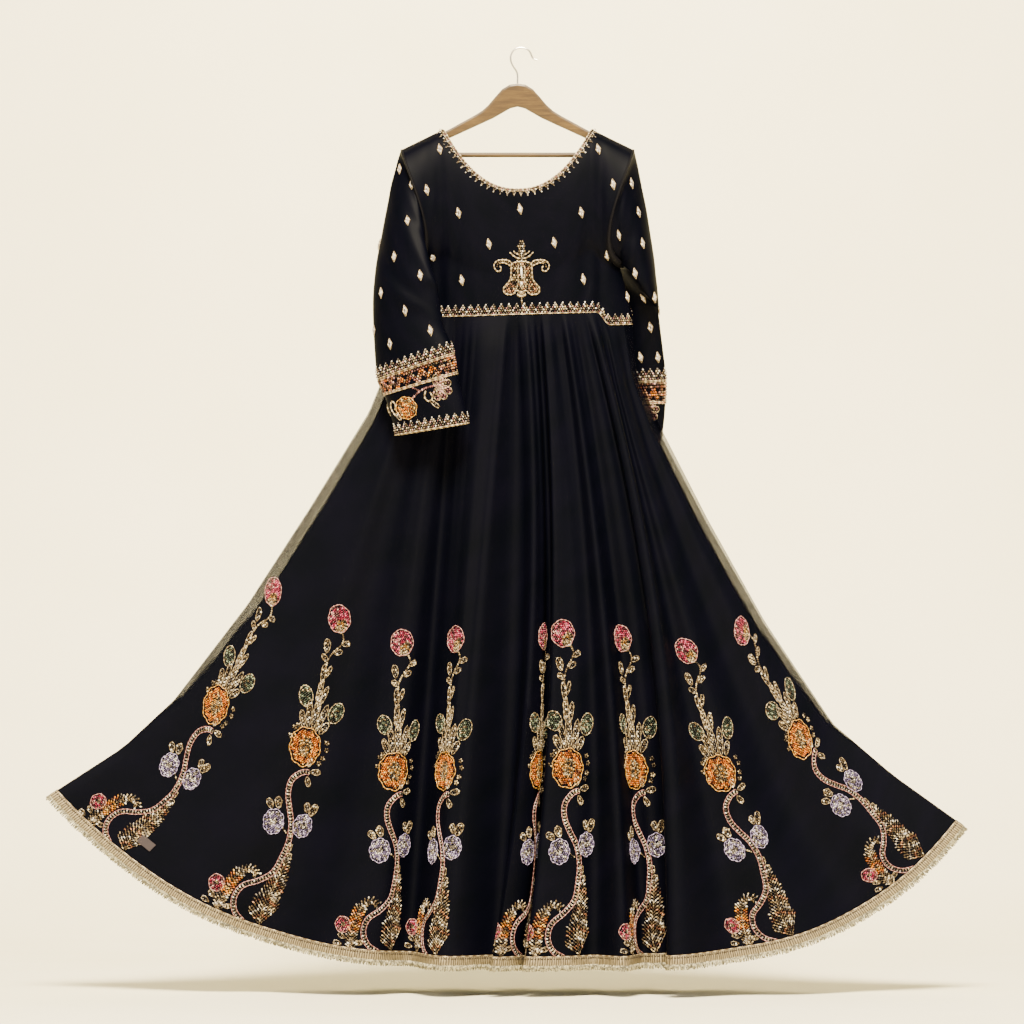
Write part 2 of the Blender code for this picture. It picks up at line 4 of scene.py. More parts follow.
import bpy
import numpy as np
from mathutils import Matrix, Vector


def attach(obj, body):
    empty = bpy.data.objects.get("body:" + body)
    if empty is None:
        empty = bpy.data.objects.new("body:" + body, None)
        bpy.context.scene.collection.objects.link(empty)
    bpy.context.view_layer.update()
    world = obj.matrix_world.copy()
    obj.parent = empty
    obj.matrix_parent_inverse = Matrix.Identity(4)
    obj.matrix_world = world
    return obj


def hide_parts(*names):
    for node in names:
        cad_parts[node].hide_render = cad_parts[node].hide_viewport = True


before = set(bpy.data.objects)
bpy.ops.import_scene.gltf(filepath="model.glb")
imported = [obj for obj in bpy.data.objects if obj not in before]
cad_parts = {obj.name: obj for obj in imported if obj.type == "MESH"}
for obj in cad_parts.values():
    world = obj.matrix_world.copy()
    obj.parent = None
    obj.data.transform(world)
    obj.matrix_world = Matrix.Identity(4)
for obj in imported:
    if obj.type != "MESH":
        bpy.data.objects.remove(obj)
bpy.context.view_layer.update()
bpy.ops.object.select_all(action="DESELECT")

# Sizes are in millimetres about the gown's own centre plane, as the solids were worked out. A sheet is a grid
# of points, its rows running down the cloth and its columns across it. Side 1 is the front and -1 the back.
MM = 0.001
GOWN_CENTRE_X = -6.7
HALF_WALL = 0.6
GAP = 0.3
SEAM_HALF = HALF_WALL + 0.2
MITRE_LEAST = 0.55
LENS_POWER = 2.4
LENS_ROUND = 0.8

# Neck, shoulder and armhole of the bodice
NECK_HALF = 121.0
NECK_TOP_Z = -133.0
NECK_DEPTH = 98.0
NECK_ROUND = 2.25
BACK_NECK_DEPTH = 104.0
SHOULDER_SLOPE = 0.49
NECK_SHARE = 0.64
TIP = (190.0, -167.0)
UNDERARM = (166.0, -352.0)
ARMHOLE_HALF_DEPTH = 42.0
ARMHOLE_CUT_IN = 34.0
EDGE_PULL_POWER = 4

# Waist: half width, depth, and the front seam, which steps down at the tuck near the right side
WAIST_HALF = 188.0
BODICE_DEPTH = 52.0
DEPTH_SPREAD = 100.0
WAIST_Z = -438.0
WAIST_TILT = 0.03
WAIST_STEP = 21.0
WAIST_STEP_X = (132.0, 148.0)
BODICE_TROUGHS = ((-128, 10, 6), (-148, 8, 4), (136, 9, 9), (112, 12, 3))

# Sleeve sections down from the armhole: outer and inner point, half thickness, front drawn in
SLEEVE_LEFT = (
    ((-198, -3, -192), (-172, -20, -357), 30, 27),
    ((-206, -6, -224), (-152, -56, -358), 27, 18),
    ((-219, -16, -289), (-134, -74, -384), 28, 5),
    ((-232, -26, -363), (-127, -76, -416), 29, 0),
    ((-236, -36, -430), (-121, -80, -456), 28, 0),
    ((-230, -47, -532), (-106, -90, -494), 27, 0),
    ((-217, -54, -568), (-99, -94, -534), 26, 0),
    ((-202, -62, -617), (-84, -100, -595), 25, 0),
    ((-198, -64, -635), (-81, -102, -616), 24, 0),
)
SLEEVE_RIGHT = (
    ((199, -1, -205), (179, 3, -355), 38, -24),
    ((210, -2, -262), (176, 6, -355), 38, -16),
    ((224, -2, -346), (173, 10, -356), 36, -8),
    ((231, -4, -418), (172, 16, -357), 33, -2),
    ((231, 18, -432), (153, 52, -386), 25, 0),
    ((243, 38, -530), (132, 84, -534), 25, 0),
    ((243, 41, -580), (130, 92, -582), 25, 0),
    ((239, 46, -626), (126, 101, -624), 24, 0),
    ((234, 48, -645), (123, 104, -642), 23, 0),
)

# Skirt outline and its folds: x at the waist, x at the hem, depth at the hem, sideways bow, crest or trough
HEM_MIDDLE_Z = -1497.0
HEM_LEFT = (768.0, 272.0, 3.0)
HEM_RIGHT = (732.0, 222.0, 4.0)
BACK_HEM_DROP = 9.0
SIDE_FLARE = (
    (0, 0, 0),
    (0.1, 0.04, 0.01),
    (0.2, 0.095, 0.07),
    (0.4, 0.262, 0.228),
    (0.6, 0.437, 0.4),
    (0.8, 0.645, 0.605),
    (0.9, 0.79, 0.785),
    (1, 1, 1),
)
FLARE_REACH = 1.5
FRONT_FOLDS = (
    (-188, -768, 0, 0, 0),
    (-183, -752, 8, 0, 0),
    (-166, -655, 24, 0, -1),
    (-151, -512, 60, 0, 1),
    (-138, -409, 48, 0, -1),
    (-124, -306, 94, 0, 1),
    (-110, -236, 100, 0, 0),
    (-95, -178, 52, 0, -1),
    (-60, -143, 122, 0, 1),
    (-20, -112, 144, 0, 1),
    (-8, -52, 98, 10, -1),
    (0, -33, 97, 22, -1),
    (10, -42, 147, 38, 1),
    (24, 2, 114, 27, 0),
    (30, 15, 60, 24, -1),
    (36, 29, 58, 24, -1),
    (42, 13, 140, 30, 1),
    (54, 81, 128, 24, 0),
    (66, 125, 98, 24, -1),
    (76, 172, 146, 22, 1),
    (92, 202, 80, 24, -1),
    (104, 228, 92, 32, 0),
    (110, 260, 86, 38, -1),
    (116, 242, 150, 42, 1),
    (124, 272, 160, 42, 1),
    (132, 357, 104, 20, -1),
    (148, 455, 106, 8, 1),
    (166, 565, 54, 0, -1),
    (177, 652, 42, 0, 1),
    (184, 718, 8, 0, 0),
    (188, 732, 0, 0, 0),
)
BACK_FOLDS = (
    (-188, -768, 0, 0, 0),
    (-183, -752, 8, 0, 0),
    (-165, -640, 26, 0, -1),
    (-149, -520, 58, 0, 1),
    (-131, -418, 50, 0, -1),
    (-112, -322, 104, -8, 1),
    (-92, -262, 70, -12, -1),
    (-74, -206, 138, -18, 1),
    (-56, -150, 60, -14, -1),
    (-38, -116, 146, -16, 1),
    (-18, -44, 66, -8, -1),
    (2, -6, 152, 0, 1),
    (22, 52, 74, 10, -1),
    (40, 92, 148, 16, 1),
    (60, 160, 58, 18, -1),
    (80, 196, 136, 22, 1),
    (98, 262, 76, 16, -1),
    (118, 330, 118, 12, 1),
    (138, 424, 56, 4, -1),
    (156, 524, 70, 0, 1),
    (172, 628, 28, 0, -1),
    (184, 718, 8, 0, 0),
    (188, 732, 0, 0, 0),
)
GATHER_DEPTH = 5.0
GATHER_START = 0.05

# Lining: a plainer lens of cloth inside the net, drawn in from its side edges by a share of the way down
LINING_HEM_DEPTH = 42.0
LINING_WAIST_SHARE = 0.72
LINING_ROWS = (0.04, 0.12, 0.25, 0.4, 0.56, 0.72, 0.86, 0.978)
LINING_STEP_LEAD = 15.0
LINING_INSET = ((0, 14), (0.1, 14), (0.35, 24), (0.6, 30), (0.8, 20), (0.9, 14), (1, 16))

# The net's side strips that the room shows through: their width by the share of the way down, how much they
# cover, what covers fully, and the millimetres over which the one turns into the other
SHEER_STRIP = ((0, 14), (0.1, 14), (0.35, 19), (0.55, 20), (0.66, 14), (0.76, 11), (0.85, -5), (1, -5))
SHEER_COVER = 0.5
FULL_COVER = 1.2
SHEER_FADE = 5.0

# How finely each cloth is made here
SKIRT_ROW_COUNT = 64
SKIRT_COLUMN_PITCH = 8.0
BODICE_ROW_COUNT = 40
BODICE_COLUMN_COUNT = 76
SLEEVE_ROW_COUNT = 64
SLEEVE_COLUMN_COUNT = 72
LINING_ROW_COUNT = 40


def linear(code):
    """An sRGB hex colour as linear red, green, blue and a whole alpha."""
    parts = [int(code[i : i + 2], 16) / 255 for i in (1, 3, 5)]
    return (*[c / 12.92 if c <= 0.04045 else ((c + 0.055) / 1.055) ** 2.4 for c in parts], 1.0)


def add(tree, kind, settings=None, links=None, stops=()):
    """One shader node with its settings, its inputs set to values or linked to other nodes' outputs, and a
    colour ramp's stops, each a place and a hex colour."""
    node = tree.nodes.new(kind)
    for key, value in (settings or {}).items():
        setattr(node, key, value)
    for key, value in (links or {}).items():
        socket = node.inputs[key]
        if hasattr(value, "is_output"):
            tree.links.new(value, socket)
        else:
            socket.default_value = value
    if stops:
        elements = node.color_ramp.elements
        elements[0].position, elements[0].color = stops[0][0], linear(stops[0][1])
        elements[1].position, elements[1].color = stops[-1][0], linear(stops[-1][1])
        for place, code in stops[1:-1]:
            elements.new(place).color = linear(code)
    return node


def new_material(name, **sockets):
    """A material with its Principled shader, whose plain sockets are set directly."""
    made = bpy.data.materials.new(name)
    made.use_nodes = True
    shader = made.node_tree.nodes["Principled BSDF"]
    for key, value in sockets.items():
        shader.inputs[key.replace("_", " ")].default_value = value
    return made, made.node_tree, shader


# Surfaces, as the solids have them


def read_table(rows, at):
    columns = np.array(rows, float).T
    return [float(np.interp(at, columns[0], column)) for column in columns[1:]]


def through(four, share):
    """A smooth curve through the middle two of four points, at a share of the way between them."""
    before, start, end, after = four
    slope_in = (end - before) / 2
    slope_out = (after - start) / 2
    s2, s3 = share**2, share**3
    near = start * (2 * s3 - 3 * s2 + 1) + slope_in * (s3 - 2 * s2 + share)
    return near + end * (3 * s2 - 2 * s3) + slope_out * (s3 - s2)


def smooth_between(rows, at):
    """Rows of numbers read at fractional row numbers along a smooth curve through them."""
    rows = np.asarray(rows, float)
    last = len(rows) - 1
    read = []
    for place in at:
        first = min(int(place), last - 1)
        four = [rows[min(max(k, 0), last)] for k in range(first - 1, first + 3)]
        read.append(through(four, place - first))
    return np.array(read)


def waist_z(x, side):
    if side < 0:
        return WAIST_Z
    return WAIST_Z + WAIST_TILT * x - WAIST_STEP * float(np.interp(x, WAIST_STEP_X, (0, 1)))


def lens(share):
    return max(1 - abs(share) ** LENS_POWER, 0) ** LENS_ROUND


def shoulder_depth(below):
    return BODICE_DEPTH * (1 - math.exp(-math.sqrt(max(below, 0) / DEPTH_SPREAD)))


def shoulder_z(x):
    return NECK_TOP_Z + (NECK_HALF - abs(x)) * SHOULDER_SLOPE


def armhole(angle):
    """A point of the right front armhole: 0 degrees at the tip, 180 at the underarm. y is the depth."""
    share = (1 - math.cos(math.radians(angle))) / 2
    bend = math.sin(math.radians(angle))
    x = TIP[0] + (UNDERARM[0] - TIP[0]) * share - ARMHOLE_CUT_IN * bend * share**0.8
    return x, ARMHOLE_HALF_DEPTH * bend, TIP[1] + (UNDERARM[1] - TIP[1]) * share


def side_edge(down, side, hand):
    """x and depth of the bodice's side edge at a share of the way down: the armhole, then the side seam."""
    end_z = waist_z(hand * WAIST_HALF, side)
    z = TIP[1] + (end_z - TIP[1]) * down
    if z >= UNDERARM[1]:
        share = (TIP[1] - z) / (TIP[1] - UNDERARM[1])
        x, depth, _ = armhole(math.degrees(math.acos(1 - 2 * share)))
        return x, depth
    return UNDERARM[0] + (WAIST_HALF - UNDERARM[0]) * (z - UNDERARM[1]) / (end_z - UNDERARM[1]), 0


def bodice_top(across, side):
    reach = abs(across)
    if reach <= NECK_SHARE:
        x = NECK_HALF * reach / NECK_SHARE
        deep = 1 - (x / NECK_HALF) ** NECK_ROUND
        z = NECK_TOP_Z - (NECK_DEPTH if side > 0 else BACK_NECK_DEPTH) * deep
    else:
        x = NECK_HALF + (TIP[0] - NECK_HALF) * (reach - NECK_SHARE) / (1 - NECK_SHARE)
        z = shoulder_z(x)
    return math.copysign(x, across), z


def bodice_point(across, down, side):
    hand = math.copysign(1, across)
    edge_x, edge_depth = side_edge(down, side, hand)
    top_x, top_z = bodice_top(across, side)
    foot_x = across * WAIST_HALF
    straight_edge = TIP[0] + (WAIST_HALF - TIP[0]) * down
    x = top_x + (foot_x - top_x) * down + hand * (edge_x - straight_edge) * abs(across) ** EDGE_PULL_POWER
    z = top_z + (waist_z(foot_x, side) - top_z) * down
    full = shoulder_depth(shoulder_z(x) - z)
    depth = edge_depth + (full - edge_depth) * lens(across)
    fade = lens(across) * min(1, 3 * down)
    if side > 0:
        for trough_x, breadth, deep in BODICE_TROUGHS:
            depth -= fade * deep * math.exp(-(((x - trough_x) / breadth) ** 2))
    return x, -side * max(depth + fade * bodice_creases(x, z, side), SEAM_HALF), z


# Soft creases pressed into the bodice: middle x and z, half breadth, half length, lean, and height
CREASES_FRONT = (
    (-96, -300, 7, 90, 0.10, -2.2),
    (-70, -380, 6, 60, -0.06, 1.6),
    (-30, -400, 7, 50, 0.05, -1.4),
    (24, -392, 8, 52, -0.04, 1.5),
    (64, -372, 7, 66, 0.10, -1.8),
    (96, -330, 8, 80, 0.16, 2.0),
    (-140, -262, 5, 40, 0.25, 1.8),
    (146, -250, 6, 44, -0.22, 2.0),
    (118, -410, 5, 36, 0.30, 2.4),
    (152, -392, 5, 40, 0.20, -2.2),
)
CREASES_BACK = (
    (-100, -310, 8, 84, 0.08, 2.0),
    (-52, -372, 7, 62, -0.05, -1.8),
    (4, -388, 8, 58, 0.03, 1.5),
    (58, -366, 7, 70, 0.06, -1.9),
    (104, -320, 8, 86, -0.10, 2.1),
    (-142, -270, 6, 44, 0.22, -1.8),
    (144, -280, 6, 46, -0.2, 1.9),
)


def bodice_creases(x, z, side):
    rise = 0.0
    for middle_x, middle_z, breadth, length, lean, height in CREASES_FRONT if side > 0 else CREASES_BACK:
        along = (z - middle_z) / length
        aside = (x - middle_x - lean * (z - middle_z)) / breadth
        rise += height * math.exp(-(aside**2) - along**2)
    return rise


def bodice_shares():
    """Shares across, evenly over the neck and again over the shoulder, with the neck's ends on a column."""
    half = BODICE_COLUMN_COUNT // 2
    neck = round(half * NECK_SHARE)
    right = [NECK_SHARE * math.sin(math.pi / 2 * k / neck) for k in range(neck)]
    right += list(np.linspace(NECK_SHARE, 1, half - neck + 1))
    return [-share for share in right[:0:-1]] + right


def bodice_grid(side):
    downs = np.linspace(0, 1, BODICE_ROW_COUNT)
    grid = np.array([[bodice_point(across, down, side) for across in bodice_shares()] for down in downs])
    grid[-1, :, 2] += GAP / 2
    return grid


def armhole_ring(hand, angles):
    ring = []
    for angle in angles:
        x, depth, z = armhole(min(angle, 360 - angle))
        clear = HALF_WALL + GAP + HALF_WALL * 2 * ((TIP[1] - z) / (TIP[1] - UNDERARM[1])) ** 2
        ring.append((hand * (x + clear), -depth if angle < 180 else depth, z))
    return ring


def section_ring(section, angles):
    outer, inner, half, tuck = section
    outer, inner = np.array(outer, float), np.array(inner, float)
    centre = (outer + inner) / 2
    ring = []
    for angle in angles:
        turn = math.radians(angle)
        inwards = tuck * max(0, math.sin(turn))
        ring.append(centre + (outer - centre) * math.cos(turn) + (inwards, -half * math.sin(turn), 0))
    return ring


# Soft creases of the sleeves: ring number and angle of the middle, half breadth in rings, half length in
# steps of 60 degrees, slant, and height. 90 degrees is the front and 270 the back.
CREASES_SLEEVE = (
    (1.3, 70, 0.22, 1.1, 0.5, 2.4),
    (1.9, 110, 0.26, 1.0, -0.5, -2.6),
    (2.7, 80, 0.24, 1.2, 0.4, 2.2),
    (3.4, 130, 0.22, 0.9, -0.6, 2.6),
    (3.9, 60, 0.24, 1.0, 0.5, -2.6),
    (4.5, 105, 0.24, 1.1, 0.3, 2.4),
    (5.0, 75, 0.20, 0.8, -0.4, -2.0),
    (1.5, 250, 0.26, 1.0, 0.5, -2.4),
    (2.4, 290, 0.24, 1.1, -0.4, 2.4),
    (3.3, 255, 0.24, 1.1, 0.5, -2.4),
    (4.1, 285, 0.22, 1.0, -0.5, 2.6),
    (4.9, 260, 0.22, 0.9, 0.4, -2.0),
)


def sleeve_creases(place, angle):
    rise = 0.0
    for middle, turn, breadth, length, slant, height in CREASES_SLEEVE:
        aside = ((angle - turn + 180) % 360 - 180) / 60
        along = (place - middle - slant * aside) / breadth
        rise += height * math.exp(-(along**2) - (aside / length) ** 2)
    return rise * min(1, max(0, place) / 0.8)


def sleeve_grid(hand, sections):
    """The sleeve's rings, smoothed between the given ones, with its creases pressed in."""
    angles = [360 * k / SLEEVE_COLUMN_COUNT for k in range(SLEEVE_COLUMN_COUNT)]
    rings = [armhole_ring(hand, angles)] + [section_ring(section, angles) for section in sections]
    rings = np.array(rings)
    places = np.linspace(0, len(rings) - 1, SLEEVE_ROW_COUNT)
    grid = smooth_between(rings.reshape(len(rings), -1), places).reshape(len(places), -1, 3)
    middle = grid.mean(axis=1, keepdims=True)
    outwards = (grid - middle) / np.linalg.norm(grid - middle, axis=2, keepdims=True)
    rise = np.array([[sleeve_creases(place, angle) for angle in angles] for place in places])
    return grid + outwards * rise[:, :, None]


def seam_depth(x, side):
    return shoulder_depth(shoulder_z(x) - waist_z(x, side)) * lens(x / WAIST_HALF)


def hem_z(x, side):
    reach, rise, power = HEM_LEFT if x < 0 else HEM_RIGHT
    share = min(abs(x) / reach, 1)
    drop = BACK_HEM_DROP * (1 - share**2) if side < 0 else 0
    return HEM_MIDDLE_Z + rise * share**power - drop


def skirt_z(waist_x, hem_x, down, side):
    top = waist_z(waist_x, side)
    return top + (hem_z(hem_x, side) - top) * down


def skirt_line(fold, down, side):
    waist_x, hem_x, hem_depth, bow, crest = fold
    reach = HEM_LEFT[0] if hem_x < 0 else HEM_RIGHT[0]
    flare = read_table(SIDE_FLARE, down)[0 if hem_x < 0 else 1]
    edge = min(abs(hem_x) / reach, 1) ** FLARE_REACH
    out = down + (flare - down) * edge
    x = waist_x + (hem_x - waist_x) * out + bow * 4 * down * (1 - down)
    gathers = crest * GATHER_DEPTH * min(1, down / GATHER_START) * (1 - down) * lens(waist_x / WAIST_HALF)
    top_depth = seam_depth(waist_x, side)
    return x, top_depth + (hem_depth - top_depth) * down + gathers, waist_x, hem_x


def skirt_places(folds, side):
    """Places across at which the net has a column, as fold number and share, evenly along the hem."""
    rough = np.linspace(0, len(folds) - 1, 12 * (len(folds) - 1) + 1)
    hem = smooth_between([skirt_line(fold, 1, side) for fold in folds], rough)[:, :2]
    run = np.concatenate([[0], np.cumsum(np.linalg.norm(np.diff(hem, axis=0), axis=1))])
    columns = round(run[-1] / SKIRT_COLUMN_PITCH)
    return np.interp(np.linspace(0, run[-1], columns + 1), run, rough)


def skirt_downs():
    """Shares of the way down, closer together at the gathers."""
    return np.linspace(0, 1, SKIRT_ROW_COUNT) ** 1.15


def net_gathers(waist_x, down):
    """Fine uneven gathers that fade out down the net, and the softer ripples that they turn into."""
    fine = 1.6 * (1 - down) ** 3 * math.sin(waist_x / 1.9 + 1.3 * math.sin(waist_x / 17))
    soft = 3.4 * math.sin(math.pi * down) * math.sin(waist_x / 4.7 + 0.9 * math.sin(waist_x / 23))
    return (fine + soft) * min(1, down / 0.06) * lens(waist_x / WAIST_HALF)


def skirt_grid(side):
    folds = FRONT_FOLDS if side > 0 else BACK_FOLDS
    places = skirt_places(folds, side)
    grid = []
    for down in skirt_downs():
        row = smooth_between([skirt_line(fold, down, side) for fold in folds], places)
        line = []
        for x, depth, waist_x, hem_x in row:
            depth = max(depth + net_gathers(waist_x, down), SEAM_HALF)
            line.append((x, -side * depth, skirt_z(waist_x, hem_x, down, side)))
        grid.append(line)
    grid = np.array(grid)
    grid[0, :, 2] -= GAP / 2
    return grid, places


def lining_grid(side):
    folds = FRONT_FOLDS if side > 0 else BACK_FOLDS
    shares = [math.sin(math.pi / 2 * (k / 36 - 1)) for k in range(73)]
    inside = 2 * (HALF_WALL + GAP)
    rows = []
    for down in (0, *LINING_ROWS):
        inset = read_table(LINING_INSET, down)[0]
        middle_depth = LINING_WAIST_SHARE * seam_depth(0, side) * (1 - down) + LINING_HEM_DEPTH * down
        row = []
        for share in shares:
            edge_x, _, waist_x, hem_x = skirt_line(folds[0 if share < 0 else -1], down, side)
            x = share * (abs(edge_x) - inset)
            z = skirt_z(abs(waist_x) * share, abs(hem_x) * share, down, side)
            if down == 0:
                depth = seam_depth(x, side) - inside
                z = min(waist_z(x, side), waist_z(x + LINING_STEP_LEAD, side)) - GAP
            else:
                depth = middle_depth * (1 - share**2) ** LENS_ROUND
            row.append((x, -side * max(depth, SEAM_HALF), z))
        rows.append(row)
    return np.array(rows)


# Walls and what lies on them


def off_sheet(grid, wrap, outward):
    """The step off the sheet at each point, lengthened at a fold so that both its flanks move by one unit."""
    nexts = np.roll(grid, -1, axis=1) if wrap else grid[:, 1:]
    here = grid if wrap else grid[:, :-1]
    faces = np.cross(here[1:] - nexts[:-1], nexts[1:] - here[:-1]) * outward
    faces /= np.maximum(np.linalg.norm(faces, axis=2, keepdims=True), 1e-9)
    faces = np.concatenate([faces[:1], faces, faces[-1:]])
    if wrap:
        faces = np.concatenate([faces[:, -1:], faces], axis=1)
    else:
        faces = np.concatenate([faces[:, :1], faces, faces[:, -1:]], axis=1)
    around = [faces[:-1, :-1], faces[:-1, 1:], faces[1:, :-1], faces[1:, 1:]]
    mean = sum(around)
    mean /= np.maximum(np.linalg.norm(mean, axis=2, keepdims=True), 1e-9)
    least = np.min([(mean * face).sum(axis=2) for face in around], axis=0)
    return mean / np.clip(least, MITRE_LEAST, 1)[:, :, None]


class Cloth:
    """A sheet, its steps off it and its lengths along each row, so that work sewn on follows its folds."""

    def __init__(self, grid, outward=1, wrap=False):
        self.grid = np.array(grid, float)
        self.outward = outward
        self.wrap = wrap
        self.step = off_sheet(self.grid, wrap, outward)
        closed = np.concatenate([self.grid, self.grid[:, :1]], axis=1) if wrap else self.grid
        self.closed = closed
        self.steps = np.concatenate([self.step, self.step[:, :1]], axis=1) if wrap else self.step
        across = np.linalg.norm(np.diff(closed, axis=1), axis=2)
        self.run = np.concatenate([np.zeros((len(closed), 1)), np.cumsum(across, axis=1)], axis=1)
        down = np.linalg.norm(np.diff(closed, axis=0), axis=2)
        self.fall = np.concatenate([np.zeros((1, closed.shape[1])), np.cumsum(down, axis=0)], axis=0)

    def at(self, row, column, aside=0.0, below=0.0):
        """Point, outward step, across and down directions at a fractional row and column, moved over the
        cloth by millimetres across it and down it."""
        last_row, last_column = self.closed.shape[0] - 1, self.closed.shape[1] - 1
        numbers = np.arange(last_column + 1)
        if below:
            line = int(round(min(max(column, 0), last_column)))
            fall = self.fall[:, line]
            rows = np.arange(last_row + 1)
            row = float(np.interp(np.interp(row, rows, fall) + below, fall, rows))
        row = min(max(row, 0), last_row - 1e-6)
        above = int(row)
        share = row - above
        picked = []
        for r in (above, above + 1):
            run = self.run[r]
            start = float(np.interp(column, numbers, run))
            goal = start + aside
            if self.wrap:
                goal %= run[-1]
            place = float(np.interp(goal, run, numbers))
            c = min(int(place), last_column - 1)
            f = place - c
            picked.append((
                self.closed[r, c] * (1 - f) + self.closed[r, c + 1] * f,
                self.steps[r, c] * (1 - f) + self.steps[r, c + 1] * f,
                self.closed[r, c + 1] - self.closed[r, c],
            ))
        point = picked[0][0] * (1 - share) + picked[1][0] * share
        step = picked[0][1] * (1 - share) + picked[1][1] * share
        step = step / np.linalg.norm(step)
        across = picked[0][2] * (1 - share) + picked[1][2] * share
        across = across - step * across.dot(step)
        across = across / max(np.linalg.norm(across), 1e-9)
        down = np.cross(across, step)
        down = down * (-1 if down[2] > 0 else 1)
        return point, step, across, down


def mesh_object(name, points, faces, materials, face_materials=None):
    """A mesh from points in millimetres about the gown's centre plane, with its place in its mesh."""
    mesh = bpy.data.meshes.new(name)
    points = (np.asarray(points, float) + (GOWN_CENTRE_X, 0, 0)) * MM
    mesh.from_pydata(points.tolist(), [], faces)
    for material in materials:
        mesh.materials.append(material)
    if face_materials is not None:
        mesh.polygons.foreach_set("material_index", np.asarray(face_materials, np.int32))
    mesh.shade_smooth()
    obj = bpy.data.objects.new(name, mesh)
    bpy.context.scene.collection.objects.link(obj)
    return obj


def cloth_wall(name, cloth, material, low=-HALF_WALL, high=HALF_WALL, cover=None):
    """A closed wall over a cloth from low to high millimetres off it. Its UV map is the cloth laid flat."""
    grid, step, wrap = cloth.grid, cloth.step, cloth.wrap
    rows, columns = grid.shape[:2]
    count = rows * columns
    points = np.concatenate([(grid + step * low).reshape(-1, 3), (grid + step * high).reshape(-1, 3)])

    def inner(r, c):
        return r * columns + c % columns

    def outer(r, c):
        return count + inner(r, c)

    faces, corners = [], []

    def face(*cells):
        """One face from (layer, row, column) cells, turned so that it points outwards."""
        cells = cells if cloth.outward > 0 else cells[::-1]
        faces.append([(outer if layer else inner)(r, c) for layer, r, c in cells])
        corners.append([(r, c) for _, r, c in cells])

    spans = range(columns if wrap else columns - 1)
    for r in range(rows - 1):
        for c in spans:
            face((1, r, c), (1, r + 1, c), (1, r + 1, c + 1), (1, r, c + 1))
            face((0, r, c), (0, r, c + 1), (0, r + 1, c + 1), (0, r + 1, c))
    for c in spans:
        face((0, 0, c + 1), (0, 0, c), (1, 0, c), (1, 0, c + 1))
        face((0, rows - 1, c), (0, rows - 1, c + 1), (1, rows - 1, c + 1), (1, rows - 1, c))
    if not wrap:
        for r in range(rows - 1):
            face((0, r, 0), (0, r + 1, 0), (1, r + 1, 0), (1, r, 0))
            last = columns - 1
            face((1, r, last), (1, r + 1, last), (0, r + 1, last), (0, r, last))
    obj = mesh_object(name, points, faces, [material])
    obj.data.set_sharp_from_angle(angle=math.radians(70))
    uv = obj.data.uv_layers.new(name="cloth_mm")
    flat = [(cloth.run[r, c], -cloth.fall[r, c]) for cells in corners for r, c in cells]
    uv.data.foreach_set("uv", (np.array(flat) * MM).reshape(-1))
    if cover is not None:
        layer = obj.data.attributes.new("cover", "FLOAT", "POINT")
        layer.data.foreach_set("value", np.concatenate([cover.reshape(-1)] * 2).astype(np.float32))
    return obj


# Materials

# Bodice satin: a smooth polyester charmeuse, near black with a low soft sheen along its folds
SATIN, tree, shader = new_material("black_charmeuse_satin", Roughness=0.5, Specular_IOR_Level=0.03)
coords = add(tree, "ShaderNodeUVMap", {"uv_map": "cloth_mm"}).outputs["UV"]
# Threads of 0.3 mm are too fine to show, so the weave's slanted lines are drawn 1.7 mm wide
weave = add(
    tree,
    "ShaderNodeTexWave",
    {"wave_type": "BANDS", "bands_direction": "DIAGONAL"},
    {"Vector": coords, "Scale": 130.0, "Distortion": 0.6, "Detail": 1.0},
)
mottle = add(tree, "ShaderNodeTexNoise", links={"Vector": coords, "Scale": 22.0, "Detail": 4.0})
stops = ((0.3, "#010206"), (0.7, "#03030a"))
colour = add(tree, "ShaderNodeValToRGB", {}, {"Fac": mottle.outputs["Fac"]}, stops).outputs["Color"]
tree.links.new(colour, shader.inputs["Base Color"])
bump = add(tree, "ShaderNodeBump", {}, {"Height": weave.outputs["Fac"], "Strength": 0.12, "Distance": 0.0002})
tree.links.new(bump.outputs["Normal"], shader.inputs["Normal"])

# Lining: plain black polyester taffeta, closely woven in fine ribs, its sheen broader than the satin's
TAFFETA, tree, shader = new_material("black_taffeta_lining", Roughness=0.6, Specular_IOR_Level=0.08)
coords = add(tree, "ShaderNodeUVMap", {"uv_map": "cloth_mm"}).outputs["UV"]
banded = {"wave_type": "BANDS", "bands_direction": "Y"}
ribs = add(tree, "ShaderNodeTexWave", banded, {"Vector": coords, "Scale": 160.0})
mottle = add(tree, "ShaderNodeTexNoise", links={"Vector": coords, "Scale": 14.0, "Detail": 3.0})
stops = ((0.3, "#040306"), (0.7, "#070609"))
colour = add(tree, "ShaderNodeValToRGB", {}, {"Fac": mottle.outputs["Fac"]}, stops).outputs["Color"]
tree.links.new(colour, shader.inputs["Base Color"])
bump = add(tree, "ShaderNodeBump", {}, {"Height": ribs.outputs["Fac"], "Strength": 0.1, "Distance": 0.0002})
tree.links.new(bump.outputs["Normal"], shader.inputs["Normal"])

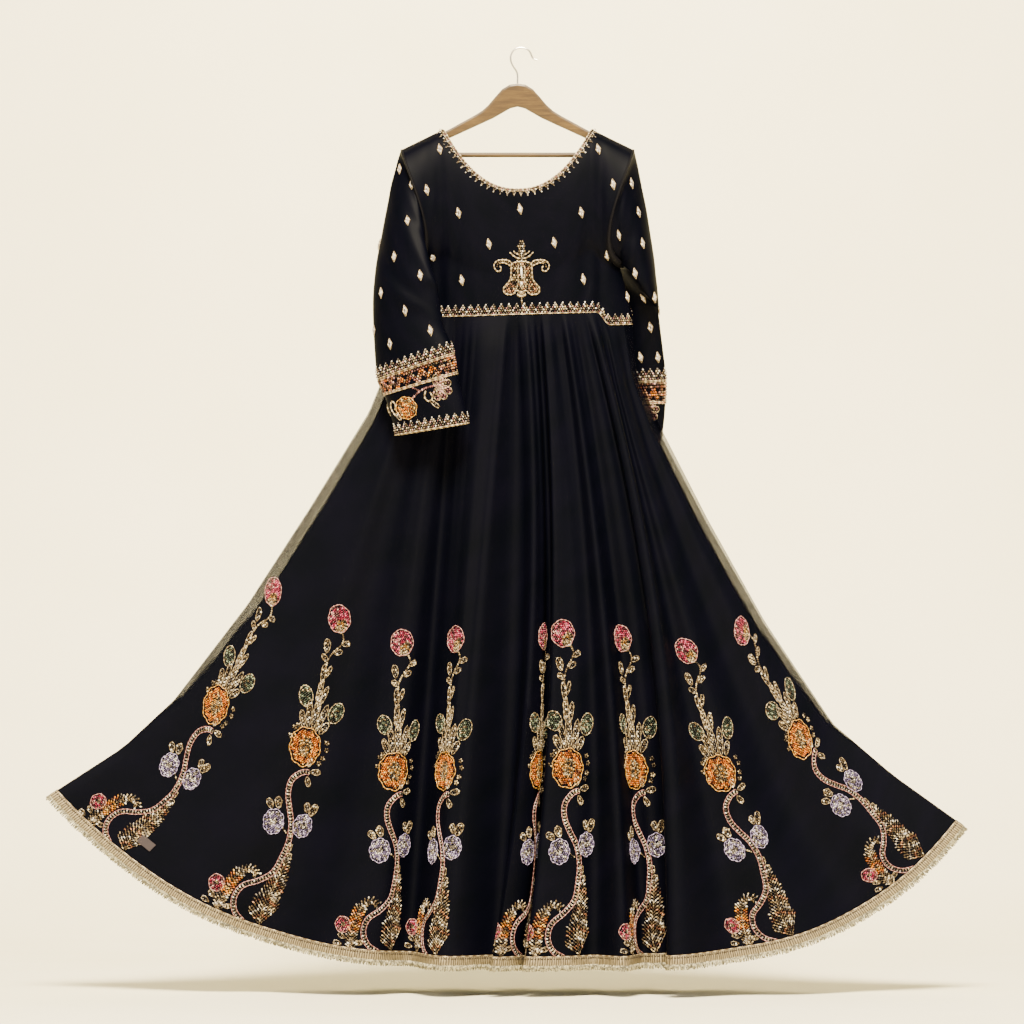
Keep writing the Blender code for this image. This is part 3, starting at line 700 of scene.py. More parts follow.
# Net: fine black nylon tulle, knitted with hexagonal holes. Over the lining it is drawn closed, because its
# holes are as dark as its threads there, and at the sides the pale room shows through it. Holes of 1 mm are
# drawn at 2.5 mm so that they show.
TULLE, tree, shader = new_material("black_nylon_tulle", Roughness=0.55, Specular_IOR_Level=0.035)
coords = add(tree, "ShaderNodeUVMap", {"uv_map": "cloth_mm"}).outputs["UV"]
cells = add(tree, "ShaderNodeTexVoronoi", {"feature": "DISTANCE_TO_EDGE"}, {"Vector": coords, "Scale": 400.0})
mottle = add(tree, "ShaderNodeTexNoise", links={"Vector": coords, "Scale": 12.0, "Detail": 4.0})
stops = ((0.3, "#010206"), (0.7, "#03030b"))
colour = add(tree, "ShaderNodeValToRGB", {}, {"Fac": mottle.outputs["Fac"]}, stops).outputs["Color"]
tree.links.new(colour, shader.inputs["Base Color"])
cover = add(tree, "ShaderNodeAttribute", {"attribute_name": "cover"}).outputs["Fac"]
threads = add(
    tree,
    "ShaderNodeMapRange",
    {},
    {"Value": cells.outputs["Distance"], "From Min": 0.0, "From Max": 0.25, "To Min": 1.25, "To Max": 0.85},
)
clamped = {"operation": "MULTIPLY", "use_clamp": True}
alpha = add(tree, "ShaderNodeMath", clamped, {0: cover, 1: threads.outputs["Result"]})
tree.links.new(alpha.outputs["Value"], shader.inputs["Alpha"])
bump = add(tree, "ShaderNodeBump", {}, {"Height": mottle.outputs["Fac"], "Strength": 0.15, "Distance": 0.002})
tree.links.new(bump.outputs["Normal"], shader.inputs["Normal"])

# Hanger: varnished beech, its grain running along the arms with fine brown flecks
BEECH, tree, shader = new_material("varnished_beech", Roughness=0.45, Coat_Weight=0.05, Coat_Roughness=0.25)
coords = add(tree, "ShaderNodeTexCoord").outputs["Object"]
drawn_out = add(tree, "ShaderNodeMapping", {}, {"Vector": coords, "Scale": (3.0, 30.0, 30.0)})
fibres = {"Vector": drawn_out.outputs["Vector"], "Scale": 6.0, "Detail": 8.0, "Roughness": 0.65}
grain = add(tree, "ShaderNodeTexNoise", links=fibres)
fleck_place = add(tree, "ShaderNodeMapping", {}, {"Vector": coords, "Scale": (60.0, 500.0, 500.0)})
speckled = {"Vector": fleck_place.outputs["Vector"], "Scale": 3.0, "Detail": 2.0}
flecks = add(tree, "ShaderNodeTexNoise", links=speckled)
stops = ((0.3, "#2f1f06"), (0.5, "#44300d"), (0.7, "#594318"))
body_colour = add(tree, "ShaderNodeValToRGB", {}, {"Fac": grain.outputs["Fac"]}, stops).outputs["Color"]
stops = ((0.35, "#c9b08c"), (0.6, "#ffffff"))
fleck_colour = add(tree, "ShaderNodeValToRGB", {}, {"Fac": flecks.outputs["Fac"]}, stops).outputs["Color"]
multiply = {"data_type": "RGBA", "blend_type": "MULTIPLY"}
mixed = add(tree, "ShaderNodeMix", multiply, {0: 0.35, 6: body_colour, 7: fleck_colour})
tree.links.new(mixed.outputs[2], shader.inputs["Base Color"])
bump = add(tree, "ShaderNodeBump", {}, {"Height": grain.outputs["Fac"], "Strength": 0.08, "Distance": 0.0004})
tree.links.new(bump.outputs["Normal"], shader.inputs["Normal"])

# Hook: drawn steel wire with bright nickel plating, faintly streaked along its length
WIRE, tree, shader = new_material("nickel_plated_steel_wire", Metallic=1.0)
coords = add(tree, "ShaderNodeTexCoord").outputs["Object"]
streaks = add(tree, "ShaderNodeTexNoise", links={"Vector": coords, "Scale": 900.0, "Detail": 2.0})
stops = ((0.3, "#a7a39c"), (0.7, "#c9c6bf"))
colour = add(tree, "ShaderNodeValToRGB", {}, {"Fac": streaks.outputs["Fac"]}, stops).outputs["Color"]
tree.links.new(colour, shader.inputs["Base Color"])
rough = add(tree, "ShaderNodeMapRange", {}, {"Value": streaks.outputs["Fac"], "To Min": 0.22, "To Max": 0.4})
tree.links.new(rough.outputs["Result"], shader.inputs["Roughness"])

# Beadwork drawn flat and then sewn on: x across and y up in millimetres, each bead a low polished form


def even_points(points, pitch, closed=False):
    """Evenly spaced points along a smooth curve through the given ones, and the curve's heading at each."""
    points = list(points) + [points[0]] if closed else list(points)
    rough = smooth_between(points, np.linspace(0, len(points) - 1, 10 * (len(points) - 1) + 1))
    run = np.concatenate([[0], np.cumsum(np.linalg.norm(np.diff(rough, axis=0), axis=1))])
    count = max(2, round(run[-1] / pitch) + 1)
    at = np.linspace(0, run[-1], count)
    spaced = np.stack([np.interp(at, run, rough[:, k]) for k in range(rough.shape[1])], axis=1)
    heading = np.gradient(spaced, axis=0)
    heading /= np.maximum(np.linalg.norm(heading, axis=1, keepdims=True), 1e-9)
    return spaced, heading


def inside(outline, x, y):
    """Whether a point lies in a closed outline."""
    within = False
    for (x0, y0), (x1, y1) in zip(outline, outline[1:] + outline[:1]):
        if (y0 > y) != (y1 > y) and x < x0 + (x1 - x0) * (y - y0) / (y1 - y0):
            within = not within
    return within


def oval(x, y, half_width, half_height, petals=0, scallop=0.0, lean=0.0, count=40):
    """The outline of a flower head, scalloped by its petals."""
    ring = []
    for k in range(count):
        turn = 2 * math.pi * k / count
        reach = 1 + scallop * (abs(math.cos(petals * turn / 2)) - 0.5)
        ox, oy = half_width * reach * math.cos(turn), half_height * reach * math.sin(turn)
        turned_x = x + ox * math.cos(lean) - oy * math.sin(lean)
        turned_y = y + ox * math.sin(lean) + oy * math.cos(lean)
        ring.append((turned_x, turned_y))
    return ring


class Design:
    """Beads and cords of one motif, flat, drawn once and sewn on in many places."""

    def __init__(self, seed):
        self.beads = []
        self.cords = []
        self.rng = random.Random(seed)

    def bead(self, x, y, length, width, turn, colour, height=1.6):
        self.beads.append((x, y, length, width, height, turn, colour))

    def cord(self, points, radius, colour, pitch=4.0, closed=False):
        spaced, _ = even_points(points, pitch, closed)
        self.cords.append((spaced, radius, colour, closed))

    def row(self, points, pitch, length, width, colour, aside=0.0, lean=0.0, closed=False):
        """Beads one after another along a curve, or beside it."""
        spaced, heading = even_points(points, pitch, closed)
        for (x, y), (hx, hy) in zip(spaced, heading):
            self.bead(x - hy * aside, y + hx * aside, length, width, math.atan2(hy, hx) + lean, colour)

    def fill(self, outline, pitch, size, colours, stretch=1.25):
        """Beads packed closely inside an outline, turned this way and that."""
        xs, ys = [p[0] for p in outline], [p[1] for p in outline]
        y, shift = min(ys) + pitch / 2, 0.0
        while y < max(ys):
            x = min(xs) + shift
            while x < max(xs):
                jx, jy = x + self.rng.uniform(-0.4, 0.4), y + self.rng.uniform(-0.4, 0.4)
                if inside(outline, jx, jy):
                    turn = self.rng.uniform(0, math.pi)
                    self.bead(jx, jy, size * stretch, size, turn, self.rng.choice(colours))
                x += pitch
            y += pitch * 0.87
            shift = 0.0 if shift else pitch / 2

    def flower(self, outline, colours, edge, centre=None, centre_colours=(), pitch=3.7, size=3.3):
        """A filled head with a corded edge, and a heart of other beads."""
        self.cord(outline, 0.8, edge, closed=True)
        middle = np.mean(outline, axis=0)
        shrunk = [tuple(middle + (np.array(p) - middle) * 0.9) for p in outline]
        start = len(self.beads)
        self.fill(shrunk, pitch, size, colours)
        if centre:
            self.beads[start:] = [b for b in self.beads[start:] if not inside(centre, b[0], b[1])]
            self.fill(centre, pitch * 0.85, size * 0.85, centre_colours)

    def leaf(self, x, y, length, width, turn, colour):
        """A pointed leaf from its stalk at (x, y), outlined in cord and filled with slanted beads."""
        dx, dy = math.cos(turn), math.sin(turn)
        for hand in (1, -1):
            side = []
            for share in (0, 0.3, 0.65, 1):
                bulge = hand * width / 2 * math.sin(math.pi * share**0.8)
                side.append((x + dx * length * share - dy * bulge, y + dy * length * share + dx * bulge))
            self.cord(side, 0.7, colour, pitch=3.5)
        count = max(1, int(length / 4.5))
        for k in range(count):
            share = (k + 0.6) / count
            self.bead(x + dx * length * share, y + dy * length * share, 3.6, 2.4, turn + 0.5, colour)


# A cut bead: six facets in front and six behind, pointed at its ends once it is stretched
BEAD_SIDES = 6
BEAD_TURNS = [2 * math.pi * k / BEAD_SIDES for k in range(BEAD_SIDES)]
BEAD_POINTS = np.array([(math.cos(turn), math.sin(turn), 0) for turn in BEAD_TURNS] + [(0, 0, 1), (0, 0, -1)])
BEAD_FACES = [(k, (k + 1) % BEAD_SIDES, BEAD_SIDES) for k in range(BEAD_SIDES)]
BEAD_FACES += [((k + 1) % BEAD_SIDES, k, BEAD_SIDES + 1) for k in range(BEAD_SIDES)]
# A cord has four sides, and its rings take two tones in turn: every other ring is painted near a glint, as
# painted highlights on a twisted thread
CORD_SIDES = 4
CORD_PAINTED_GLINT_TONES = (0.5, 0.95)


class Sewing:
    """One joined mesh of beads and cords, sewn over cloths."""

    def __init__(self, name, materials):
        self.name = name
        self.materials = materials
        self.points, self.faces, self.slots, self.tones = [], [], [], []
        self.count = 0
        self.rng = random.Random(41)

    def add_bead(self, point, step, across, up, length, width, height, turn, colour, lift):
        along = across * math.cos(turn) + up * math.sin(turn)
        aside = up * math.cos(turn) - across * math.sin(turn)
        centre = point + step * (HALF_WALL + lift + height * 0.4)
        placed = centre + np.outer(BEAD_POINTS[:, 0] * length / 2, along)
        placed += np.outer(BEAD_POINTS[:, 1] * width / 2, aside)
        placed += np.outer(BEAD_POINTS[:, 2] * height / 2, step)
        self.points.append(placed)
        flip = np.dot(np.cross(along, aside), step) < 0
        for face in BEAD_FACES:
            self.faces.append([self.count + k for k in (face[::-1] if flip else face)])
        self.slots += [colour] * len(BEAD_FACES)
        # A random tone for the bead, which its material paints as shade, plain colour or a glint
        self.tones += [self.rng.random()] * len(BEAD_POINTS)
        self.count += len(BEAD_POINTS)

    def add_cord(self, points, steps, radius, colour, lift, closed=False):
        points, steps = np.array(points), np.array(steps)
        if closed:
            heading = np.roll(points[:-1], -1, axis=0) - np.roll(points[:-1], 1, axis=0)
            points, steps = points[:-1], steps[:-1]
        else:
            heading = np.gradient(points, axis=0)
        heading /= np.maximum(np.linalg.norm(heading, axis=1, keepdims=True), 1e-9)
        side = np.cross(heading, steps)
        side /= np.maximum(np.linalg.norm(side, axis=1, keepdims=True), 1e-9)
        up = np.cross(side, heading)
        centre = points + steps * (HALF_WALL + lift + radius * 0.8)
        count = len(points)
        for s in range(CORD_SIDES):
            turn = 2 * math.pi * s / CORD_SIDES
            self.points.append(centre + side * radius * math.cos(turn) + up * radius * math.sin(turn))
        for k in range(count if closed else count - 1):
            n = (k + 1) % count
            for s in range(CORD_SIDES):
                t = (s + 1) % CORD_SIDES
                corners = ((s, k), (s, n), (t, n), (t, k))
                self.faces.append([self.count + line * count + ring for line, ring in corners])
                self.slots.append(colour)
        if not closed:
            first = [s * count for s in range(CORD_SIDES)]
            last = [s * count + count - 1 for s in reversed(range(CORD_SIDES))]
            for end in (first, last):
                self.faces.append([self.count + k for k in end])
                self.slots.append(colour)
        # Every other ring gets the painted glint tone
        self.tones += [CORD_PAINTED_GLINT_TONES[k % 2] for k in range(count)] * CORD_SIDES
        self.count += CORD_SIDES * count

    def sew(self, design, reader, lift=0.0, scale=1.0, turn=0.0, flip=1, shift=(0.0, 0.0)):
        """Sews a design on, its own x and y turned, sized and moved, read onto the cloth by reader(x, y)."""
        ct, st = math.cos(turn) * scale, math.sin(turn) * scale

        def moved(x, y):
            x *= flip
            return shift[0] + x * ct - y * st, shift[1] + x * st + y * ct

        for points, radius, colour, closed in design.cords:
            read = [reader(*moved(x, y)) for x, y in points]
            self.add_cord([r[0] for r in read], [r[1] for r in read], radius * scale, colour, lift, closed)
        for x, y, length, width, height, bead_turn, colour in design.beads:
            point, step, across, up = reader(*moved(x, y))
            own = turn + (bead_turn if flip > 0 else math.pi - bead_turn)
            size = (length * scale, width * scale, height * scale)
            self.add_bead(point, step, across, up, *size, own, colour, lift)

    def finish(self, slot, *nodes):
        points = np.concatenate(self.points)
        obj = mesh_object(self.name, points, self.faces, self.materials, self.slots)
        # The tone that the bead materials paint as shade or glint
        tone = obj.data.attributes.new("tone", "FLOAT", "POINT")
        tone.data.foreach_set("value", np.array(self.tones, np.float32))
        stands_for(obj, slot, *nodes)


def along_cloth(cloth, row, column):
    """A reader that follows the cloth's own lengths from one place on it."""

    def read(x, y):
        point, step, across, down = cloth.at(row, column, aside=x, below=-y)
        return point, step, across, -down

    return read


def seen_from_front(cloth, side=1):
    """A reader for places given as x and z on the gown's own plane. Cloth that faces away is out of reach,
    and of two layers the nearer one is read."""
    grid = cloth.closed
    facing = cloth.steps[:, :, 1] * side < -0.05
    flat = grid[:, :, [0, 2]]

    def read(x, z):
        off = np.linalg.norm(flat - (x, z), axis=2) + np.where(facing, 0.0, 1e3) + 0.02 * side * grid[:, :, 1]
        r, c = np.unravel_index(np.argmin(off), off.shape)
        r0, c0 = min(r, grid.shape[0] - 2), min(c, grid.shape[1] - 2)
        beside = grid[r0, c0 + 1] - grid[r0, c0]
        down = grid[r0 + 1, c0] - grid[r0, c0]
        wanted = np.array((x, z)) - flat[r, c]
        table = np.array(((beside[0], down[0]), (beside[2], down[2])))
        u, v = np.linalg.solve(table, wanted) if abs(np.linalg.det(table)) > 1e-6 else (0.0, 0.0)
        u, v = min(max(u, -1.5), 1.5), min(max(v, -1.5), 1.5)
        step = cloth.steps[r, c] / np.linalg.norm(cloth.steps[r, c])
        across = beside / np.linalg.norm(beside)
        across -= step * step.dot(across)
        across /= np.linalg.norm(across)
        up = np.cross(step, across)
        up *= 1 if up[2] > 0 else -1
        return grid[r, c] + beside * u + down * v, step, across, up

    return read


# Camera, first because sizes on the photograph follow from it: 1.64 mm a pixel at the gown's plane
PIXEL = 1.64
PHOTO_SIDE = 1024
# Places on the photograph: the inside top of the hook, which is the origin, and the gown's centre line there
HOOK_PIXEL = (521.6, 48.5)
CENTRE_PIXEL = (517.5, 48.5)
CAMERA_FAR = 12.0
SENSOR = 36
view_x = (PHOTO_SIDE / 2 - HOOK_PIXEL[0]) * PIXEL * MM
view_z = -(PHOTO_SIDE / 2 - HOOK_PIXEL[1]) * PIXEL * MM
camera = bpy.data.objects.new("camera", bpy.data.cameras.new("camera"))
camera.location = (view_x, -CAMERA_FAR, view_z)
camera.rotation_euler = (math.pi / 2, 0, 0)
camera.data.sensor_width = SENSOR
camera.data.lens = SENSOR * CAMERA_FAR / (PHOTO_SIDE * PIXEL * MM)
camera.data.clip_end = 60
bpy.context.scene.collection.objects.link(camera)
bpy.context.scene.camera = camera

# Cloth


def stands_for(piece, slot, *nodes):
    """Sets a piece on the gown's body, in the place of its CAD nodes if it has any."""
    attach(piece, "root")
    if nodes:
        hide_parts(*nodes)


bodices, skirts, sleeves = {}, {}, {}
for side, name in ((1, "front"), (-1, "back")):
    cloth = Cloth(bodice_grid(side), side)
    bodices[side] = cloth
    piece = cloth_wall("bodice_satin_" + name, cloth, SATIN)
    stands_for(piece, "black_satin", "bodice_" + name)

for name, hand, sections in (("left", -1, SLEEVE_LEFT), ("right", 1, SLEEVE_RIGHT)):
    cloth = Cloth(sleeve_grid(hand, sections), -hand, True)
    sleeves[hand] = cloth
    piece = cloth_wall("sleeve_satin_" + name, cloth, SATIN)
    stands_for(piece, "black_satin", "sleeve_" + name)

for side, name in ((1, "front"), (-1, "back")):
    grid, places = skirt_grid(side)
    cloth = Cloth(grid, side)
    cloth.places = places
    skirts[side] = cloth
    edge = np.minimum(cloth.run, cloth.run[:, -1:] - cloth.run)
    strip = np.array([read_table(SHEER_STRIP, down)[0] for down in skirt_downs()])[:, None]
    cover = SHEER_COVER + (FULL_COVER - SHEER_COVER) * np.clip((edge - strip) / SHEER_FADE, 0, 1)
    piece = cloth_wall("skirt_net_" + name, cloth, TULLE, cover=cover)
    stands_for(piece, "black_net", "skirt_" + name)
    # Half a skirt: 2.6 m round the hem with its ease, gathered to 0.38 m at the waist, 1.12 m long
    rows = lining_grid(side)
    read_at = np.linspace(0, len(rows) - 1, LINING_ROW_COUNT)
    fine = smooth_between(rows.reshape(len(rows), -1), read_at).reshape(LINING_ROW_COUNT, -1, 3)
    piece = cloth_wall("skirt_lining_" + name, Cloth(fine, side), TAFFETA)
    stands_for(piece, "black_lining", "lining_" + name)

for node, material in (("hanger_body", BEECH), ("hanger_bar", BEECH), ("hanger_hook", WIRE)):
    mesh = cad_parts[node].data
    mesh.materials.clear()
    mesh.materials.append(material)

# The colours that the thread and beads come in, each a slot of every beadwork piece
GOLD, COPPER, ORANGE, YELLOW, PINK, LAVENDER, SAGE, SILVER, ROSE, CHAMPAGNE = range(10)


def beads_of(name, painted_shade, middle, painted_glint, roughness=0.3, metallic=0.1):
    """Glass beads or metal thread: each bead's colour is painted at its own random tone, from painted shade
    over its plain colour to a painted glint.
    """
    made, tree, shader = new_material(name, Metallic=metallic, Roughness=roughness)
    tone = add(tree, "ShaderNodeAttribute", {"attribute_name": "tone"}).outputs["Fac"]
    coords = add(tree, "ShaderNodeTexCoord").outputs["Object"]
    # Painted facet glints and shade, with tarnish, of 1.5 mm inside one bead of 3 to 4 mm
    painted_facets_and_tarnish = add(tree, "ShaderNodeTexNoise", links={"Vector": coords, "Scale": 700.0, "Detail": 1.0})
    reach = {"Value": painted_facets_and_tarnish.outputs["Fac"], "To Min": -0.15, "To Max": 0.15}
    uneven = add(tree, "ShaderNodeMapRange", {}, reach)
    mixed = add(tree, "ShaderNodeMath", {"operation": "ADD"}, {0: tone, 1: uneven.outputs["Result"]})
    stops = ((0.12, painted_shade), (0.66, middle), (1.0, painted_glint))
    colour = add(tree, "ShaderNodeValToRGB", {}, {"Fac": mixed.outputs["Value"]}, stops).outputs["Color"]
    tree.links.new(colour, shader.inputs["Base Color"])
    return made


# Zari and metal threads are foil wound on a core and shine softly. Bugle and seed beads are drawn glass tube,
# cut and fire polished. Each bead's colour is painted at random between painted shade and a painted glint.
# Rose thread is twisted silk.
BEADS = [
    beads_of("antique_gold_zari_thread", "#150d06", "#5c492f", "#c8b28c", 0.32, 0.3),
    beads_of("copper_bugle_beads", "#1f0f08", "#6d432a", "#c8946f", 0.32, 0.3),
    beads_of("orange_glass_beads", "#421a02", "#a85303", "#dd8a1e"),
    beads_of("golden_glass_beads", "#4a2c0a", "#a06c28", "#dcb265", 0.3, 0.2),
    beads_of("crimson_glass_beads", "#330410", "#851634", "#c8607f"),
    beads_of("lavender_glass_beads", "#2a2336", "#6d6186", "#c2b6d2"),
    beads_of("sage_glass_beads", "#040704", "#222b1f", "#8d987f"),
    beads_of("silver_lined_beads", "#3f3832", "#9a8f84", "#ece6dc", 0.26, 0.15),
    beads_of("rose_pink_thread", "#351a1b", "#7f504e", "#c89c96", 0.36),
    beads_of("champagne_metal_thread", "#20170e", "#6f5c43", "#d0bd98", 0.32, 0.2),
]

# The climbing flower vine, drawn from the hem up about its own axis
STEM = (
    (-8, 2), (-28, 14), (-38, 36), (-32, 60), (-10, 78), (8, 100), (14, 132), (16, 160), (10, 190), (-2, 214),
    (-12, 238), (-12, 262), (2, 280), (14, 284),
)
FERN = ((22, 6), (17, 26), (15, 48), (18, 72), (21, 96), (22, 124))
TWIG_PITCH = 5.2


def dense(design, outline, colours=(GOLD, CHAMPAGNE, GOLD, SILVER), edge=CHAMPAGNE):
    """A closely beaded leaf form with a thread round it."""
    design.cord(outline, 0.6, edge, closed=True, pitch=5.0)
    design.fill(outline, 4.7, 3.7, colours)


def petal(x, y, length, width, turn):
    """The outline of a blunt leaf from its stalk at (x, y)."""
    dx, dy = math.cos(turn), math.sin(turn)
    ring = []
    for k in range(10):
        around = 2 * math.pi * k / 10
        along = length * (0.5 - 0.5 * math.cos(around))
        aside = width / 2 * math.sin(around) * (0.75 + 0.5 * along / length)
        ring.append((x + dx * along - dy * aside, y + dy * along + dx * aside))
    return ring


def beaded_leaf(design, x, y, length, width, turn, colours=(GOLD, CHAMPAGNE, SILVER)):
    dense(design, petal(x, y, length, width, turn), colours)


def vine_stem():
    """The ribbon stem, with its leaves, the fern by its foot and the gold spray over the big flower."""
    d = Design(3)
    spaced, heading = even_points(STEM, 7.0)
    for side in (-4.2, 4.2):
        beside = [(x - hy * side, y + hx * side) for (x, y), (hx, hy) in zip(spaced, heading)]
        d.cord(beside, 0.7, ROSE, pitch=4.0)
    d.row(STEM, 5.2, 4.2, 3.0, SILVER, aside=1.5, lean=0.9)
    d.row(STEM, 5.2, 4.2, 3.0, CHAMPAGNE, aside=-1.5, lean=-0.9)
    # Fern of long beads to the right of the foot, its twigs shorter towards its top
    spine, heading = even_points(FERN, 6.2)
    for k, ((x, y), (hx, hy)) in enumerate(zip(spine, heading)):
        d.bead(x, y, 6.0, 3.0, math.atan2(hy, hx), (GOLD, CHAMPAGNE)[k % 2])
        length = 36 * (1 - k / len(spine)) ** 0.9 + 3
        for hand in (1, -1):
            turn = math.atan2(hy, hx) + hand * 0.75
            for step in range(int(length * (1 if hand < 0 else 0.7) / TWIG_PITCH) + 1):
                off = 4.5 + TWIG_PITCH * step
                colour = (CHAMPAGNE, GOLD, COPPER, GOLD, SILVER)[(k + step) % 5]
                turned = turn + 0.35 * (-1) ** step
                d.bead(x + off * math.cos(turn), y + off * math.sin(turn), 6.4, 2.8, turned, colour, 2.0)
    # Leaves that climb beside the stem
    for x, y, length, width, turn in (
        (20, 124, 18, 10, 1.2), (22, 142, 16, 8, 1.7), (12, 276, 18, 9, -1.1), (16, 286, 18, 10, 0.2),
        (10, 292, 16, 9, 1.6), (-20, 206, 20, 12, 1.9), (-30, 202, 18, 11, 2.4),
        (36, 212, 24, 12, 1.25), (30, 216, 18, 9, 1.8),
    ):
        beaded_leaf(d, x, y, length, width, turn)
    d.row(((6, 172), (-2, 178), (-8, 182)), 3.8, 3.8, 3.0, CHAMPAGNE)
    d.row(((14, 166), (20, 178), (24, 184)), 3.8, 3.8, 3.0, CHAMPAGNE)
    # Knots of beads at both sides of the big flower
    for x, y in ((-36, 330), (-33, 346), (-28, 352), (30, 342), (33, 330), (30, 314), (26, 304)):
        for k in range(5):
            turn = 2 * math.pi * k / 5
            colour = (CHAMPAGNE, GOLD)[k % 2]
            d.bead(x + 2.9 * math.cos(turn), y + 2.9 * math.sin(turn), 4.0, 3.2, turn, colour)
    # Fan of long petals between the two green buds, its middle drawn out into the upper stalk
    for x, y, length, width, turn in (
        (-2, 354, 60, 10, 1.62), (5, 354, 52, 9, 1.42), (-10, 354, 50, 9, 1.76), (12, 352, 26, 10, 1.15),
        (-18, 352, 30, 10, 1.95), (-4, 396, 44, 9, 1.7), (-10, 404, 40, 7, 1.5), (0, 402, 34, 7, 1.45),
        (-9, 436, 34, 8, 1.65), (-6, 446, 26, 6, 1.3),
    ):
        beaded_leaf(d, x, y, length, width, turn)
    d.row(((-9, 462), (-8, 480), (-2, 496), (6, 508), (9, 520), (4, 532)), 3.6, 4.2, 3.4, CHAMPAGNE, lean=0.7)
    for x, y, length, width, turn in (
        (-8, 474, 16, 9, 2.5), (-14, 488, 24, 11, 1.75), (0, 492, 16, 8, 0.7), (8, 512, 16, 9, 0.5),
        (4, 530, 14, 9, 2.4),
    ):
        beaded_leaf(d, x, y, length, width, turn)
    return d


def vine_foot():
    """The curling sprig at the left of the foot, in gold, orange and copper."""
    d = Design(19)
    arch = ((-56, 4), (-58, 26), (-55, 48), (-50, 68), (-42, 84), (-30, 92), (-20, 88))
    d.row(arch, 4.0, 4.0, 3.2, GOLD)
    spaced, heading = even_points(arch, 5.6)
    for k, ((x, y), (hx, hy)) in enumerate(zip(spaced, heading)):
        for hand in (1, -1):
            turn = math.atan2(hy, hx) + hand * 0.8
            length = 2 if k > len(spaced) * 0.6 else 3
            for step in range(length):
                off = 3.6 + 4.6 * step
                trio = (ORANGE, YELLOW, COPPER) if 4 < k < 12 else (CHAMPAGNE, GOLD, SILVER)
                colour, turned = trio[(k + step) % 3], turn + 0.3 * hand
                d.bead(x + off * math.cos(turn), y + off * math.sin(turn), 5.6, 3.2, turned, colour, 2.0)
    for x, y, turn in ((-70, 22, 2.6), (-76, 12, 3.0), (-50, 14, 0.4), (-60, 8, 1.4)):
        beaded_leaf(d, x, y, 15, 8, turn)
    return d


def vine_flowers():
    """The heads: orange in the middle, two lavender, two green buds, crimson roses on top and at the foot."""
    d = Design(5)
    heart = oval(-5, 323, 11, 18)
    orange = [ORANGE, ORANGE, ORANGE, YELLOW]
    d.flower(oval(-6, 323, 27, 33, 9, 0.10), orange, YELLOW, heart, [CHAMPAGNE, YELLOW, GOLD])
    for x, y, rx, ry in ((-21, 182, 17.5, 21), (30, 192, 16, 20)):
        heart = oval(x + 1, y, 5, 5)
        d.flower(oval(x, y, rx, ry, 8, 0.14), [LAVENDER, LAVENDER, SILVER], LAVENDER, heart, [SILVER])
    for x, y, rx, ry, lean in ((-29, 404, 13, 17, 0.3), (31, 396, 12.5, 19, -0.25)):
        d.flower(oval(x, y, rx, ry, lean=lean), [SAGE, SAGE, SAGE, GOLD], CHAMPAGNE)
        for k, (px, py) in enumerate(oval(x, y, rx, ry, lean=lean, count=16)):
            turn = 2 * math.pi * k / 16
            d.bead(px, py, 4.2, 3.0, turn + lean + math.pi / 2, (CHAMPAGNE, SAGE)[k % 2], 2.0)
    heart = oval(-1, 542, 9, 13, lean=-0.5)
    crimson = [PINK, PINK, PINK, ROSE]
    d.flower(oval(-8, 552, 20, 23, 7, 0.06), crimson, ROSE, heart, [CHAMPAGNE, GOLD, YELLOW])
    d.flower(oval(-76, 46, 13.5, 14, 6, 0.10), [PINK, PINK, ROSE], ROSE, oval(-76, 46, 4, 4), [CHAMPAGNE])
    return d


# Where each vine climbs, as fold number across the panel, with its size and its lean to the left in radians
FRONT_VINES = (
    (1.85, 0.88, 0.06), (3.6, 0.94, 0.02), (6.2, 0.92, 0.04), (7.95, 0.94, -0.02), (13.2, 0.95, -0.02),
    (17.0, 0.96, 0.02), (20.3, 0.94, 0), (25.8, 0.90, 0), (28.15, 0.88, -0.01),
)
BACK_VINES = tuple((fold, 0.92, 0) for fold in (1.7, 3.6, 5.5, 8.0, 11.0, 13.6, 16.0, 18.2, 20.2))
VINE_LIFT = 0.2
HEM_BRAID = 16.0
VINE_TUCK = 4.0


def sew_vines():
    parts = (("stems", vine_stem()), ("sprigs", vine_foot()), ("flowers", vine_flowers()))
    for side, name, vines in ((1, "front", FRONT_VINES), (-1, "back", BACK_VINES)):
        cloth = skirts[side]
        for part, design in parts:
            sewing = Sewing(f"vine_{part}_{name}", BEADS)
            for fold, size, lean in vines:
                column = float(np.interp(fold, cloth.places, np.arange(len(cloth.places))))
                read = along_cloth(cloth, SKIRT_ROW_COUNT - 1, column)
                sewing.sew(design, read, VINE_LIFT, scale=size, turn=lean, shift=(0, HEM_BRAID - VINE_TUCK))
            sewing.finish("gold_beads")


def diamond():
    """A lozenge of silver-lined beads between straight threads."""
    d = Design(7)
    corners = [(0, 9.2), (4.2, 0), (0, -9.2), (-4.2, 0)]
    for (x0, y0), (x1, y1) in zip(corners, corners[1:] + corners[:1]):
        d.cord([(x0, y0), (x1, y1)], 0.7, CHAMPAGNE, pitch=12.0)
        d.cord([(x0 * 0.6, y0 * 0.6), (x1 * 0.6, y1 * 0.6)], 1.2, SILVER, pitch=12.0)
    d.bead(0, 0, 7.0, 3.4, math.pi / 2, SILVER, 3.4)
    return d


def level_place(read, x, z):
    """A reader for one small flat motif: the cloth is read once, at the motif's middle. It stands upright,
    but for the slight lean to the left that the lozenges have."""
    point, step, _, _ = read(x, z)
    up = np.array((-0.15, 0, 1.0))
    up -= step * step.dot(up)
    up /= np.linalg.norm(up)
    across = np.cross(up, step)
    across *= 1 if across[0] > 0 else -1
    return lambda dx, dy: (point + across * dx + up * dy, step, across, up)


def on_plane(pixel_x, pixel_y):
    """Millimetres on the gown's own plane for a place on the photograph."""
    return (pixel_x - CENTRE_PIXEL[0]) * PIXEL, -(pixel_y - CENTRE_PIXEL[1]) * PIXEL


